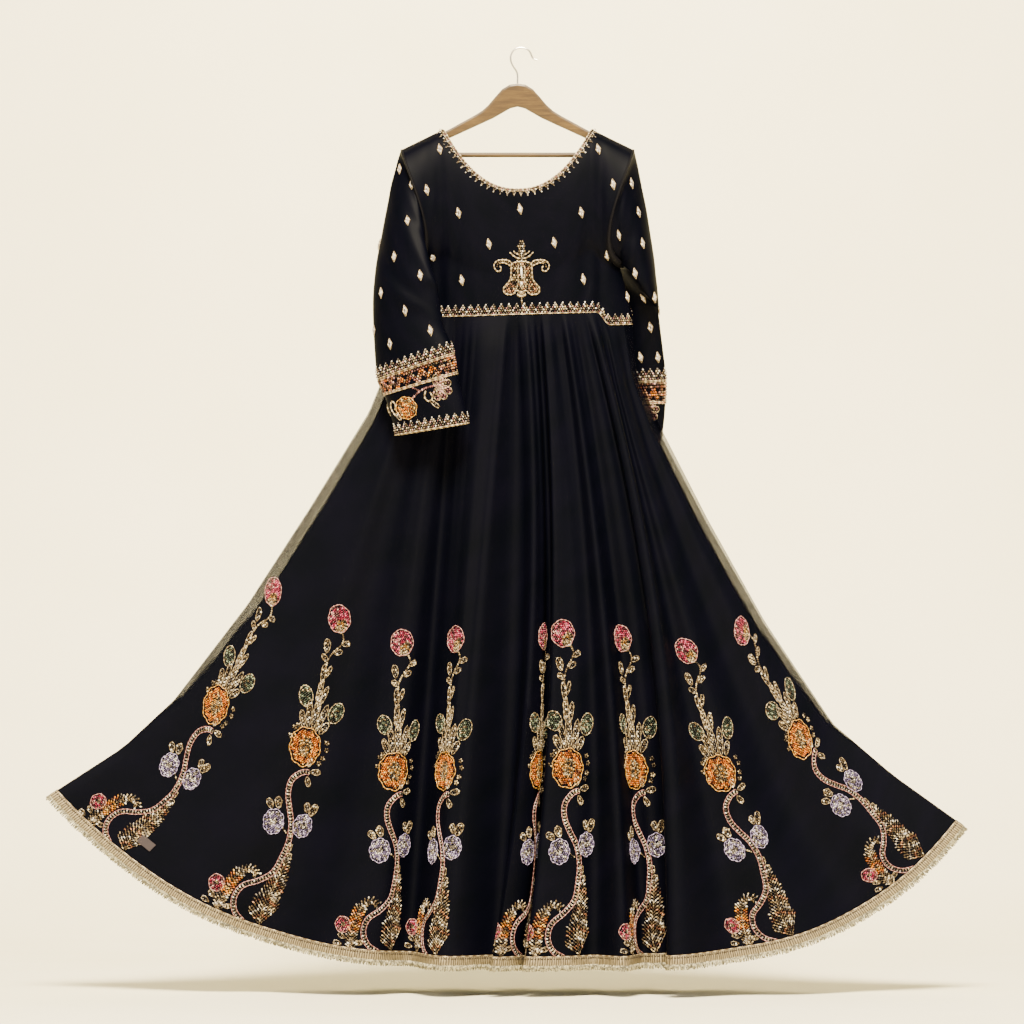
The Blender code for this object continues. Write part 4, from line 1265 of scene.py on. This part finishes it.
# The lozenges' places on the photograph, in pixels
BODICE_DIAMONDS = (
    (440, 150), (427, 191), (458.5, 214), (520, 210), (581, 213.5), (613, 185.5), (598, 150), (489, 245),
    (554, 243.5), (433, 258), (462, 281), (583, 280), (607, 256), (627, 297),
)
LEFT_DIAMONDS = (
    (400, 169.5), (412, 185), (408, 222), (380, 245), (395, 258), (421, 277), (382, 294), (406, 312),
    (431, 332), (375, 331), (391, 345),
)
RIGHT_DIAMONDS = (
    (631, 184), (638, 213), (642, 244), (619, 236), (635, 274), (643.5, 298), (654, 298), (650.5, 327),
    (641, 357), (658, 357),
)
DIAMOND_LIFT = 0.1


def sew_diamonds():
    one = diamond()
    for side, name in ((1, "front"), (-1, "back")):
        sewing = Sewing("bodice_diamonds_" + name, BEADS)
        read = seen_from_front(bodices[side], side)
        for pixel in BODICE_DIAMONDS:
            x, z = on_plane(*pixel)
            sewing.sew(one, level_place(read, x, z), DIAMOND_LIFT)
        sewing.finish("gold_beads")
    for hand, name, spots in ((-1, "left", LEFT_DIAMONDS), (1, "right", RIGHT_DIAMONDS)):
        sewing = Sewing("sleeve_diamonds_" + name, BEADS)
        cloth = sleeves[hand]
        front, back = seen_from_front(cloth), seen_from_front(cloth, -1)
        for pixel in spots:
            x, z = on_plane(*pixel)
            sewing.sew(one, level_place(front, x, z), DIAMOND_LIFT)
            # The same spots again round the sleeve's hidden half
            sewing.sew(one, level_place(back, x + 9, z - 20), DIAMOND_LIFT)
        sewing.finish("gold_beads")


def border_unit():
    """One peak of the scalloped border: rows of beads that narrow to one bead at the tip."""
    d = Design(9)
    for y, count, colours in (
        (2.6, 3, (CHAMPAGNE, ROSE, SILVER)), (6.2, 4, (SILVER, GOLD, CHAMPAGNE)),
        (9.6, 3, (ROSE, SILVER, GOLD)), (12.6, 2, (SILVER, CHAMPAGNE)), (15.6, 1, (SILVER,)),
    ):
        for k in range(count):
            x = (k - (count - 1) / 2) * 3.5
            d.bead(x, y, 3.4, 2.6, 0.9 * (-1) ** k, colours[k % len(colours)], 2.2)
    return d


BORDER_PITCH = 12.4
BORDER_LIFT = 0.2


def sew_ring(sewing, cloth, row, down, radius, colour, closed=False):
    """A cord that follows the cloth's row, moved down it."""
    read = [cloth.at(row, c, below=down) for c in range(cloth.run.shape[1])]
    sewing.add_cord([r[0] for r in read], [r[1] for r in read], radius, colour, BORDER_LIFT, closed)


def sew_border(sewing, cloth, row, scale, shift=0.0):
    """Peaks side by side all along the cloth's row."""
    unit = border_unit()
    run = cloth.run[int(row)]
    count = round(run[-1] / BORDER_PITCH)
    for k in range(count):
        column = float(np.interp(run[-1] * (k + 0.5) / count, run, np.arange(len(run))))
        sewing.sew(unit, along_cloth(cloth, row, column), BORDER_LIFT, scale=scale, shift=(0, shift))


def sew_waist_band():
    for side, name in ((1, "front"), (-1, "back")):
        sewing = Sewing("waist_beads_" + name, BEADS)
        sew_border(sewing, bodices[side], BODICE_ROW_COUNT - 1, 1.1, 0.4)
        sew_ring(sewing, bodices[side], BODICE_ROW_COUNT - 1, -0.9, 0.9, CHAMPAGNE)
        sewing.finish("gold_beads", "waist_band_" + name)


def neck_unit():
    """One scallop of the neck's edge: a loop of beads with two more hanging from it."""
    d = Design(11)
    for x, y, turn in ((-3.2, -5.2, 1.2), (3.2, -5.2, -1.2), (-1.6, -7.6, 0.8), (1.6, -7.6, -0.8)):
        d.bead(x, y, 3.2, 2.2, turn, (GOLD, SILVER)[x > 0], 2.0)
    d.bead(0, -9.8, 3.0, 2.6, 0, CHAMPAGNE, 2.0)
    d.bead(0, -12.2, 3.0, 2.2, math.pi / 2, SILVER, 2.0)
    return d


def sew_neck():
    unit = neck_unit()
    for side, name in ((1, "front"), (-1, "back")):
        cloth = bodices[side]
        neck = [k for k, share in enumerate(bodice_shares()) if abs(share) <= NECK_SHARE + 1e-6]
        spaced, heading = even_points(cloth.grid[0, neck], 3.4)
        turns = [math.atan2(hz, hx) for hx, _, hz in heading]
        read = seen_from_front(cloth, side)
        sewing = Sewing("neck_beads_" + name, BEADS)

        def inwards(k, off):
            """The place a distance into the cloth from the neck's edge, square to it."""
            return spaced[k][0] + off * math.sin(turns[k]), spaced[k][2] - off * math.cos(turns[k])

        for off, radius, colour in ((1.0, 1.0, CHAMPAGNE), (4.6, 0.7, GOLD)):
            laid = [read(*inwards(k, off)) for k in range(len(spaced))]
            sewing.add_cord([p[0] for p in laid], [p[1] for p in laid], radius, colour, BORDER_LIFT)
        for k, turn in enumerate(turns):
            point, step, across, up = read(*inwards(k, 2.8))
            slant = turn + (0.7 if k % 2 else -0.7)
            colour = (GOLD, ROSE, SILVER)[k % 3]
            sewing.add_bead(point, step, across, up, 3.8, 2.8, 2.0, slant, colour, BORDER_LIFT)
        for k in range(1, len(spaced) - 1, 3):
            sewing.sew(unit, read, BORDER_LIFT, turn=turns[k], shift=(spaced[k][0], spaced[k][2]))
        sewing.finish("gold_beads", "neck_trim_" + name)


# The cuff band lies between two of the sleeve's rings. In some rows of its beads, counted from the top, dark
# holes are left, whose width is a share of their pitch.
CUFF_BAND = (6.0, 7.0)
HOLE_PITCH = 15.0
HOLE_WIDTHS = {2: 0.3, 3: 0.2, 5: 0.3, 6: 0.3}
BAND_BEAD_ROWS = 8


def cuff_spray():
    """The spray between cuff band and edge: a round golden flower, a rose lotus, a vine and looped leaves."""
    d = Design(15)
    golden = [YELLOW, YELLOW, ORANGE, CHAMPAGNE]
    d.flower(oval(-36, -24, 19, 19, 8, 0.12), golden, YELLOW, oval(-36, -24, 5, 5), [ORANGE])
    d.row(((-22, -12), (-8, -4), (6, 0), (22, 0)), 3.6, 4.4, 4.0, ROSE)
    d.row(((-14, 6), (-4, -2)), 3.6, 4.0, 3.6, ROSE)
    d.cord(((6, -4), (1, -14), (6, -22), (14, -18), (12, -8)), 1.4, CHAMPAGNE)
    beaded_leaf(d, 8, -20, 20, 6, -0.9, (CHAMPAGNE, SILVER))
    d.cord(((-60, -34), (-66, -18), (-60, -6), (-54, -14), (-58, -22)), 1.4, CHAMPAGNE)
    beaded_leaf(d, -60, -28, 18, 7, -1.0, (CHAMPAGNE, SILVER))
    for turn in (-1.7, -1.1, -0.5, 0.1, 0.7, 1.3):
        beaded_leaf(d, 24, -3, 27 - 4 * abs(turn + 0.3), 12, turn, (ROSE, ROSE, CHAMPAGNE))
    return d


def sew_cuffs():
    last_ring = len(SLEEVE_LEFT)
    rows = SLEEVE_ROW_COUNT - 1
    for hand, name in ((-1, "left"), (1, "right")):
        cloth = sleeves[hand]
        columns = cloth.run.shape[1] - 1
        band_top, band_foot = (ring / last_ring * rows for ring in CUFF_BAND)
        # Peaks stand on a line a fifth of the way down the band, and its close beads lie under that
        middle = band_top * 0.8 + band_foot * 0.2
        sewing = Sewing("cuff_beads_" + name, BEADS)
        border = Sewing("cuff_border_" + name, BEADS)
        sew_border(sewing, cloth, middle, 1.25)
        # The band: close copper and orange beads round dark holes, between cords
        rng = random.Random(21)
        holes = round(cloth.run[int(middle), -1] / HOLE_PITCH)
        around = holes * 4
        for j in range(BAND_BEAD_ROWS):
            row = middle + (band_foot - middle) * (j + 0.9) / (BAND_BEAD_ROWS - 0.2)
            for k in range(around):
                turn = (k + 0.5 * (j % 2)) / around
                hole = (turn * holes + (0.5 if j > BAND_BEAD_ROWS / 2 else 0)) % 1
                if hole < HOLE_WIDTHS.get(j, 0):
                    continue
                point, step, across, down = cloth.at(row, turn * columns)
                colour = rng.choice((COPPER, COPPER, ORANGE, COPPER, GOLD, ROSE))
                turned = rng.uniform(0, math.pi)
                sewing.add_bead(point, step, across, -down, 4.4, 3.6, 2.0, turned, colour, BORDER_LIFT)
        for row, down, radius, colour in (
            (middle, 0.0, 1.0, CHAMPAGNE), (middle, 2.4, 0.8, GOLD),
            (band_foot, -1.5, 1.0, CHAMPAGNE), (band_foot, 1.2, 1.1, CHAMPAGNE),
        ):
            sew_ring(sewing, cloth, row, down, radius, colour, True)
        # Scalloped edge at the cuff's end
        edge_foot = rows - 0.2
        sew_border(border, cloth, edge_foot, 1.1, 1.0)
        sew_ring(border, cloth, edge_foot, -0.3, 1.3, CHAMPAGNE, True)
        spray = cuff_spray()
        for column, flip in ((columns / 4, -hand), (3 * columns / 4, hand)):
            read = along_cloth(cloth, band_foot, column)
            sewing.sew(spray, read, BORDER_LIFT, flip=flip, shift=(0, -10))
        sewing.finish("copper_beads", "cuff_band_" + name)
        border.finish("gold_beads", "cuff_edge_" + name)


def chest_ornament():
    """A lyre shaped zari ornament: a stacked finial, two scroll arms, a two lobed body and a drop inside."""
    d = Design(17)
    body = [
        (0, 14), (8, 13), (16, 10), (17, -2), (18, -14), (23, -22), (29, -29), (28, -37), (21, -40),
        (13, -39), (8, -33), (0, -36), (-8, -33), (-13, -39), (-21, -40), (-28, -37), (-29, -29), (-23, -22),
        (-18, -14), (-17, -2), (-16, 10), (-8, 13),
    ]
    d.fill(body, 4.2, 3.5, [GOLD, COPPER, GOLD, CHAMPAGNE])
    d.cord(body, 1.2, CHAMPAGNE, closed=True, pitch=3.5)
    for hand in (-1, 1):
        arm = [(14, 8), (20, 15), (30, 17), (40, 15), (45, 8), (42, 0), (36, -2), (33, 3), (36, 7)]
        d.cord([(x * hand, y) for x, y in arm], 1.2, CHAMPAGNE, pitch=3.0)
        d.cord([(x * hand, y) for x, y in ((14, 2), (20, 8), (29, 12), (36, 11))], 1.2, GOLD, pitch=3.0)
        d.row([(x * hand, y) for x, y in ((17, 7), (26, 14.5), (37, 13), (40, 6))], 3.4, 3.6, 3.0, GOLD)
        d.cord([(x * hand, y) for x, y in ((1, 19), (8, 20), (14, 24), (19, 29))], 1.2, CHAMPAGNE)
        d.cord([(x * hand, y) for x, y in ((3, 25), (9, 27), (13, 31))], 1.0, CHAMPAGNE)
        d.row(oval(18 * hand, -29, 6, 7, count=12), 3.4, 3.4, 3.0, COPPER, closed=True)
        d.cord([(x * hand, y) for x, y in ((5, 8), (6, -6), (5, -18), (8, -30))], 0.9, CHAMPAGNE)
    for y, count in ((47, 1), (43, 2), (39, 3), (35, 2), (31, 3), (27, 4), (23, 2), (19, 3), (15, 4)):
        for k in range(count + 1):
            d.bead((k - count / 2) * 3.4, y, 3.8, 3.2, math.pi / 2, (CHAMPAGNE, GOLD, SILVER)[k % 3])
    d.bead(0, -4, 22, 4.6, math.pi / 2, SILVER, 2.6)
    d.bead(0, -22, 7, 6, math.pi / 2, SILVER, 2.6)
    for turn in (-2.3, -1.9, -1.57, -1.24, -0.84):
        d.leaf(0, -34, 11, 5, turn, CHAMPAGNE)
    d.row([(0, -44), (1, -56)], 3.4, 3.4, 2.8, CHAMPAGNE)
    return d


# The middle of the ornament on the gown's own plane
MOTIF_X = 6.5
MOTIF_Z = -365.0


def sew_ornament():
    read = seen_from_front(bodices[1])
    sewing = Sewing("chest_ornament", BEADS)
    sewing.sew(chest_ornament(), lambda x, y: read(MOTIF_X + x, MOTIF_Z + y), 0.5)
    sewing.finish("gold_beads", "chest_motif")


# Hem braid: a ribbed metallic edging, its ribs standing across it, in champagne threads of changing tone
BRAID, tree, shader = new_material("champagne_metallic_braid", Metallic=0.25, Roughness=0.5)
coords = add(tree, "ShaderNodeUVMap", {"uv_map": "cloth_mm"}).outputs["UV"]
# Ribs of 1 mm are drawn 2 mm wide so that they show
ribs = add(
    tree,
    "ShaderNodeTexWave",
    {"wave_type": "BANDS", "bands_direction": "X"},
    {"Vector": coords, "Scale": 80.0, "Distortion": 1.0, "Detail": 2.0},
)
stretched = add(tree, "ShaderNodeMapping", {}, {"Vector": coords, "Scale": (260.0, 90.0, 1.0)})
uneven = {"Vector": stretched.outputs["Vector"], "Scale": 1.0, "Detail": 3.0}
tones = add(tree, "ShaderNodeTexNoise", links=uneven)
# The ribs' colour carries painted shade, darker in the grooves between them and lighter on their crests
stops = ((0.1, "#4a3f31"), (0.8, "#a49575"))
painted_rib_shade = add(tree, "ShaderNodeValToRGB", {}, {"Fac": ribs.outputs["Fac"]}, stops).outputs["Color"]
stops = ((0.3, "#8f8468"), (0.7, "#fffbf0"))
thread_tone = add(tree, "ShaderNodeValToRGB", {}, {"Fac": tones.outputs["Fac"]}, stops).outputs["Color"]
mixed = add(tree, "ShaderNodeMix", multiply, {0: 0.8, 6: painted_rib_shade, 7: thread_tone})
tree.links.new(mixed.outputs[2], shader.inputs["Base Color"])
bump = add(tree, "ShaderNodeBump", {}, {"Height": ribs.outputs["Fac"], "Strength": 0.6, "Distance": 0.0008})
tree.links.new(bump.outputs["Normal"], shader.inputs["Normal"])

# Fringe: cut ends of fine twisted thread under the braid, duller and greyer than it
FRINGE, tree, shader = new_material("cut_fringe_thread", Metallic=0.1, Roughness=0.6)
coords = add(tree, "ShaderNodeTexCoord").outputs["Object"]
ends = add(tree, "ShaderNodeTexVoronoi", {"feature": "F1"}, {"Vector": coords, "Scale": 380.0})
split = add(tree, "ShaderNodeSeparateColor", {}, {"Color": ends.outputs["Color"]})
stops = ((0.1, "#4c4738"), (0.5, "#7d755c"), (0.95, "#b0a684"))
colour = add(tree, "ShaderNodeValToRGB", {}, {"Fac": split.outputs["Red"]}, stops).outputs["Color"]
tree.links.new(colour, shader.inputs["Base Color"])

# Stitches under the braid's top edge: dull twisted sewing thread, seen as a row of short dark marks
DARK_STITCH, tree, shader = new_material("dark_brown_stitch_thread", Roughness=0.7)
coords = add(tree, "ShaderNodeTexCoord").outputs["Object"]
twist = add(tree, "ShaderNodeTexNoise", links={"Vector": coords, "Scale": 700.0})
stops = ((0.3, "#1c1510"), (0.7, "#3a2c20"))
colour = add(tree, "ShaderNodeValToRGB", {}, {"Fac": twist.outputs["Fac"]}, stops).outputs["Color"]
tree.links.new(colour, shader.inputs["Base Color"])

FRINGE_PITCH = 1.45
FRINGE_DROP = 10.0
STITCH_PITCH = 5.2
# Heights on the braid, as shares of its own, and how far its rounded rows rise off the cloth from top to foot
STITCHES_AT = 0.74
TOP_THREAD_AT = 0.97
BRAID_PROFILE = (0.3, 1.3, 0.6, 0.9, 1.2, 1.3, 1.2, 0.9, 0.4)


def sew_hem():
    """Braid round the hem, dark stitches under its top edge, and a fringe of fine threads below it."""
    for side, name in ((1, "front"), (-1, "back")):
        cloth = skirts[side]
        last = SKIRT_ROW_COUNT - 1
        columns = cloth.run.shape[1]
        rows = []
        for k, rise in enumerate(BRAID_PROFILE):
            share = 1 - k / (len(BRAID_PROFILE) - 1)
            laid = [cloth.at(last, c, below=-HEM_BRAID * share) for c in range(columns)]
            rows.append([point + step * (HALF_WALL + GAP + rise) for point, step, _, _ in laid])
        laid_braid = Cloth(rows, side)
        laid_braid.run[:] = cloth.run[last]
        obj = cloth_wall("hem_braid_" + name, laid_braid, BRAID, -0.4, 0.4)
        stands_for(obj, "champagne_braid", "hem_trim_" + name)
        sewing = Sewing("hem_stitches_" + name, [DARK_STITCH, BEADS[CHAMPAGNE]])
        fringe = Sewing("hem_fringe_" + name, [FRINGE])
        length = cloth.run[last, -1]
        numbers = np.arange(columns)
        rng = random.Random(31)
        for k in range(int(length / STITCH_PITCH)):
            column = float(np.interp((k + 0.5) * STITCH_PITCH, cloth.run[last], numbers))
            point, step, across, down = cloth.at(last, column, below=-HEM_BRAID * STITCHES_AT)
            sewing.add_bead(point, step, across, -down, 3.6, 2.4, 1.4, 0.0, 0, 1.5)
        laid = [cloth.at(last, c, below=-HEM_BRAID * TOP_THREAD_AT) for c in range(columns)]
        sewing.add_cord([p[0] for p in laid], [p[1] for p in laid], 0.9, 1, 0.6)
        for k in range(int(length / FRINGE_PITCH)):
            column = float(np.interp((k + 0.5) * FRINGE_PITCH, cloth.run[last], numbers))
            point, step, across, down = cloth.at(last, column)
            drop = FRINGE_DROP * rng.uniform(0.75, 1.05)
            lean = across * rng.uniform(-1.8, 1.8) + step * rng.uniform(-0.8, 0.8)
            start = point - down * 1.5 + step * rng.uniform(0.0, 1.0)
            path = [start, start + down * drop * 0.5 + lean * 0.3, start + down * drop + lean]
            fringe.add_cord(path, [step] * 3, rng.uniform(0.6, 0.95), 0, 0.0)
        sewing.finish("champagne_braid")
        fringe.finish("champagne_braid")


# Piping of the armholes, thicker under the arm, where the sleeve's edge stands off the bodice
PIPING_RADIUS = 2.3
PIPING_SWELL = 7.0
PIPING_INSET = 0.9
PIPING_LIFT = -2.6


def sew_armholes():
    """A rolled edge of satin round each armhole, which closes the sleeve to the bodice."""
    for hand, name in ((-1, "left"), (1, "right")):
        angles = [360 * k / 96 for k in range(97)]
        ring = np.array(armhole_ring(hand, angles))
        steps = np.array([(hand * 0.5, -1 if angle < 180 else 1, 0.2) for angle in angles])
        steps /= np.linalg.norm(steps, axis=1, keepdims=True)
        ring[:, 0] -= hand * PIPING_INSET
        sewing = Sewing("armhole_seam_" + name, [PIPING])
        lower = (1 - np.cos(np.radians(angles[:-1]))) / 2
        radius = PIPING_RADIUS + PIPING_SWELL * lower**6
        sewing.add_cord(ring, steps, radius[:, None], 0, PIPING_LIFT, closed=True)
        sewing.finish("black_satin")


# Armhole piping: a cord covered in black satin that is wound on at a slant
PIPING, tree, shader = new_material("black_satin_piping", Roughness=0.6, Specular_IOR_Level=0.08)
coords = add(tree, "ShaderNodeTexCoord").outputs["Object"]
banded = {"wave_type": "BANDS", "bands_direction": "DIAGONAL"}
twist = add(tree, "ShaderNodeTexWave", banded, {"Vector": coords, "Scale": 160.0})
# The slanted bands are painted shade in the grooves between the wrap's turns, drawn in colour alone
stops = ((0.2, "#040305"), (0.8, "#08070a"))
colour = add(tree, "ShaderNodeValToRGB", {}, {"Fac": twist.outputs["Fac"]}, stops).outputs["Color"]
tree.links.new(colour, shader.inputs["Base Color"])

# Tab: a plain folded label of mauve ribbon, woven in fine ribs, blank
RIBBON, tree, shader = new_material("mauve_ribbon", Roughness=0.75)
coords = add(tree, "ShaderNodeTexCoord").outputs["Object"]
banded = {"wave_type": "BANDS", "bands_direction": "Z"}
ribs = add(tree, "ShaderNodeTexWave", banded, {"Vector": coords, "Scale": 300.0})
# The ribs' colour carries painted shade, darker in the grooves between them
stops = ((0.2, "#1f1519"), (0.8, "#2e2226"))
colour = add(tree, "ShaderNodeValToRGB", {}, {"Fac": ribs.outputs["Fac"]}, stops).outputs["Color"]
tree.links.new(colour, shader.inputs["Base Color"])
bump = add(tree, "ShaderNodeBump", {}, {"Height": ribs.outputs["Fac"], "Strength": 0.3, "Distance": 0.0003})
tree.links.new(bump.outputs["Normal"], shader.inputs["Normal"])
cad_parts["hem_tab"].data.materials.clear()
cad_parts["hem_tab"].data.materials.append(RIBBON)

sew_vines()
sew_diamonds()
sew_waist_band()
sew_neck()
sew_cuffs()
sew_ornament()
sew_hem()
sew_armholes()

# Room: one seamless sheet of warm white paper, a strong light high in front, weak soft light from the left
# and the right, and a small light on the paper behind the gown

FLOOR_Z = -1.548
SWEEP_START, SWEEP_RADIUS, SWEEP_TOP = 1.6, 1.2, 4.5
profile = [(-9.0, FLOOR_Z), (SWEEP_START, FLOOR_Z)]
for k in range(1, 13):
    turn = math.pi / 2 * k / 12
    rise = SWEEP_RADIUS * (1 - math.cos(turn))
    profile.append((SWEEP_START + SWEEP_RADIUS * math.sin(turn), FLOOR_Z + rise))
profile.append((SWEEP_START + SWEEP_RADIUS, SWEEP_TOP))
sweep_points = [(x, y, z) for y, z in profile for x in (-8.0, 8.0)]
sweep_faces = [(2 * k, 2 * k + 1, 2 * k + 3, 2 * k + 2) for k in range(len(profile) - 1)]
sweep_mesh = bpy.data.meshes.new("paper_sweep")
sweep_mesh.from_pydata(sweep_points, [], sweep_faces)
sweep_mesh.shade_smooth()
sweep = bpy.data.objects.new("paper_sweep", sweep_mesh)
bpy.context.scene.collection.objects.link(sweep)
# Paper: matt, uncoated and faintly cloudy
paper, tree, shader = new_material("warm_white_paper", Roughness=0.95)
coords = add(tree, "ShaderNodeTexCoord").outputs["Object"]
fibre = add(tree, "ShaderNodeTexNoise", links={"Vector": coords, "Scale": 3.0, "Detail": 3.0})
stops = ((0.3, "#ebe4c5"), (0.7, "#efe8cd"))
colour = add(tree, "ShaderNodeValToRGB", {}, {"Fac": fibre.outputs["Fac"]}, stops).outputs["Color"]
tree.links.new(colour, shader.inputs["Base Color"])
sweep_mesh.materials.append(paper)


def area_light(name, place, aim, size, power, colour, spread=math.pi):
    """A soft square light at a place in metres, turned towards a point, its beam held to spread radians."""
    data = bpy.data.lights.new(name, "AREA")
    data.size = size
    data.energy = power
    data.spread = spread
    data.color = linear(colour)[:3]
    light = bpy.data.objects.new(name, data)
    light.location = place
    light.rotation_euler = (Vector(aim) - Vector(place)).to_track_quat("-Z", "Y").to_euler()
    bpy.context.scene.collection.objects.link(light)


area_light("window", (-2.6, -3.4, 1.4), (0, 0, -0.8), 2.2, 70, "#fff6e8")
area_light("fill", (3.0, -3.2, 0.2), (0, 0, -0.8), 2.6, 50, "#fff8ee")
area_light("top", (0.0, -4.6, 5.3), (0, 0.3, -1.0), 2.4, 3450, "#fff2d6")
area_light("wall", (0.0, 0.9, 1.9), (0, 3.0, -0.1), 2.4, 60, "#fff1d8", 1.3)
world = bpy.data.worlds.new("room")
bpy.context.scene.world = world
world.use_nodes = True
world.node_tree.nodes["Background"].inputs["Color"].default_value = linear("#f0f2f8")
world.node_tree.nodes["Background"].inputs["Strength"].default_value = 0.22
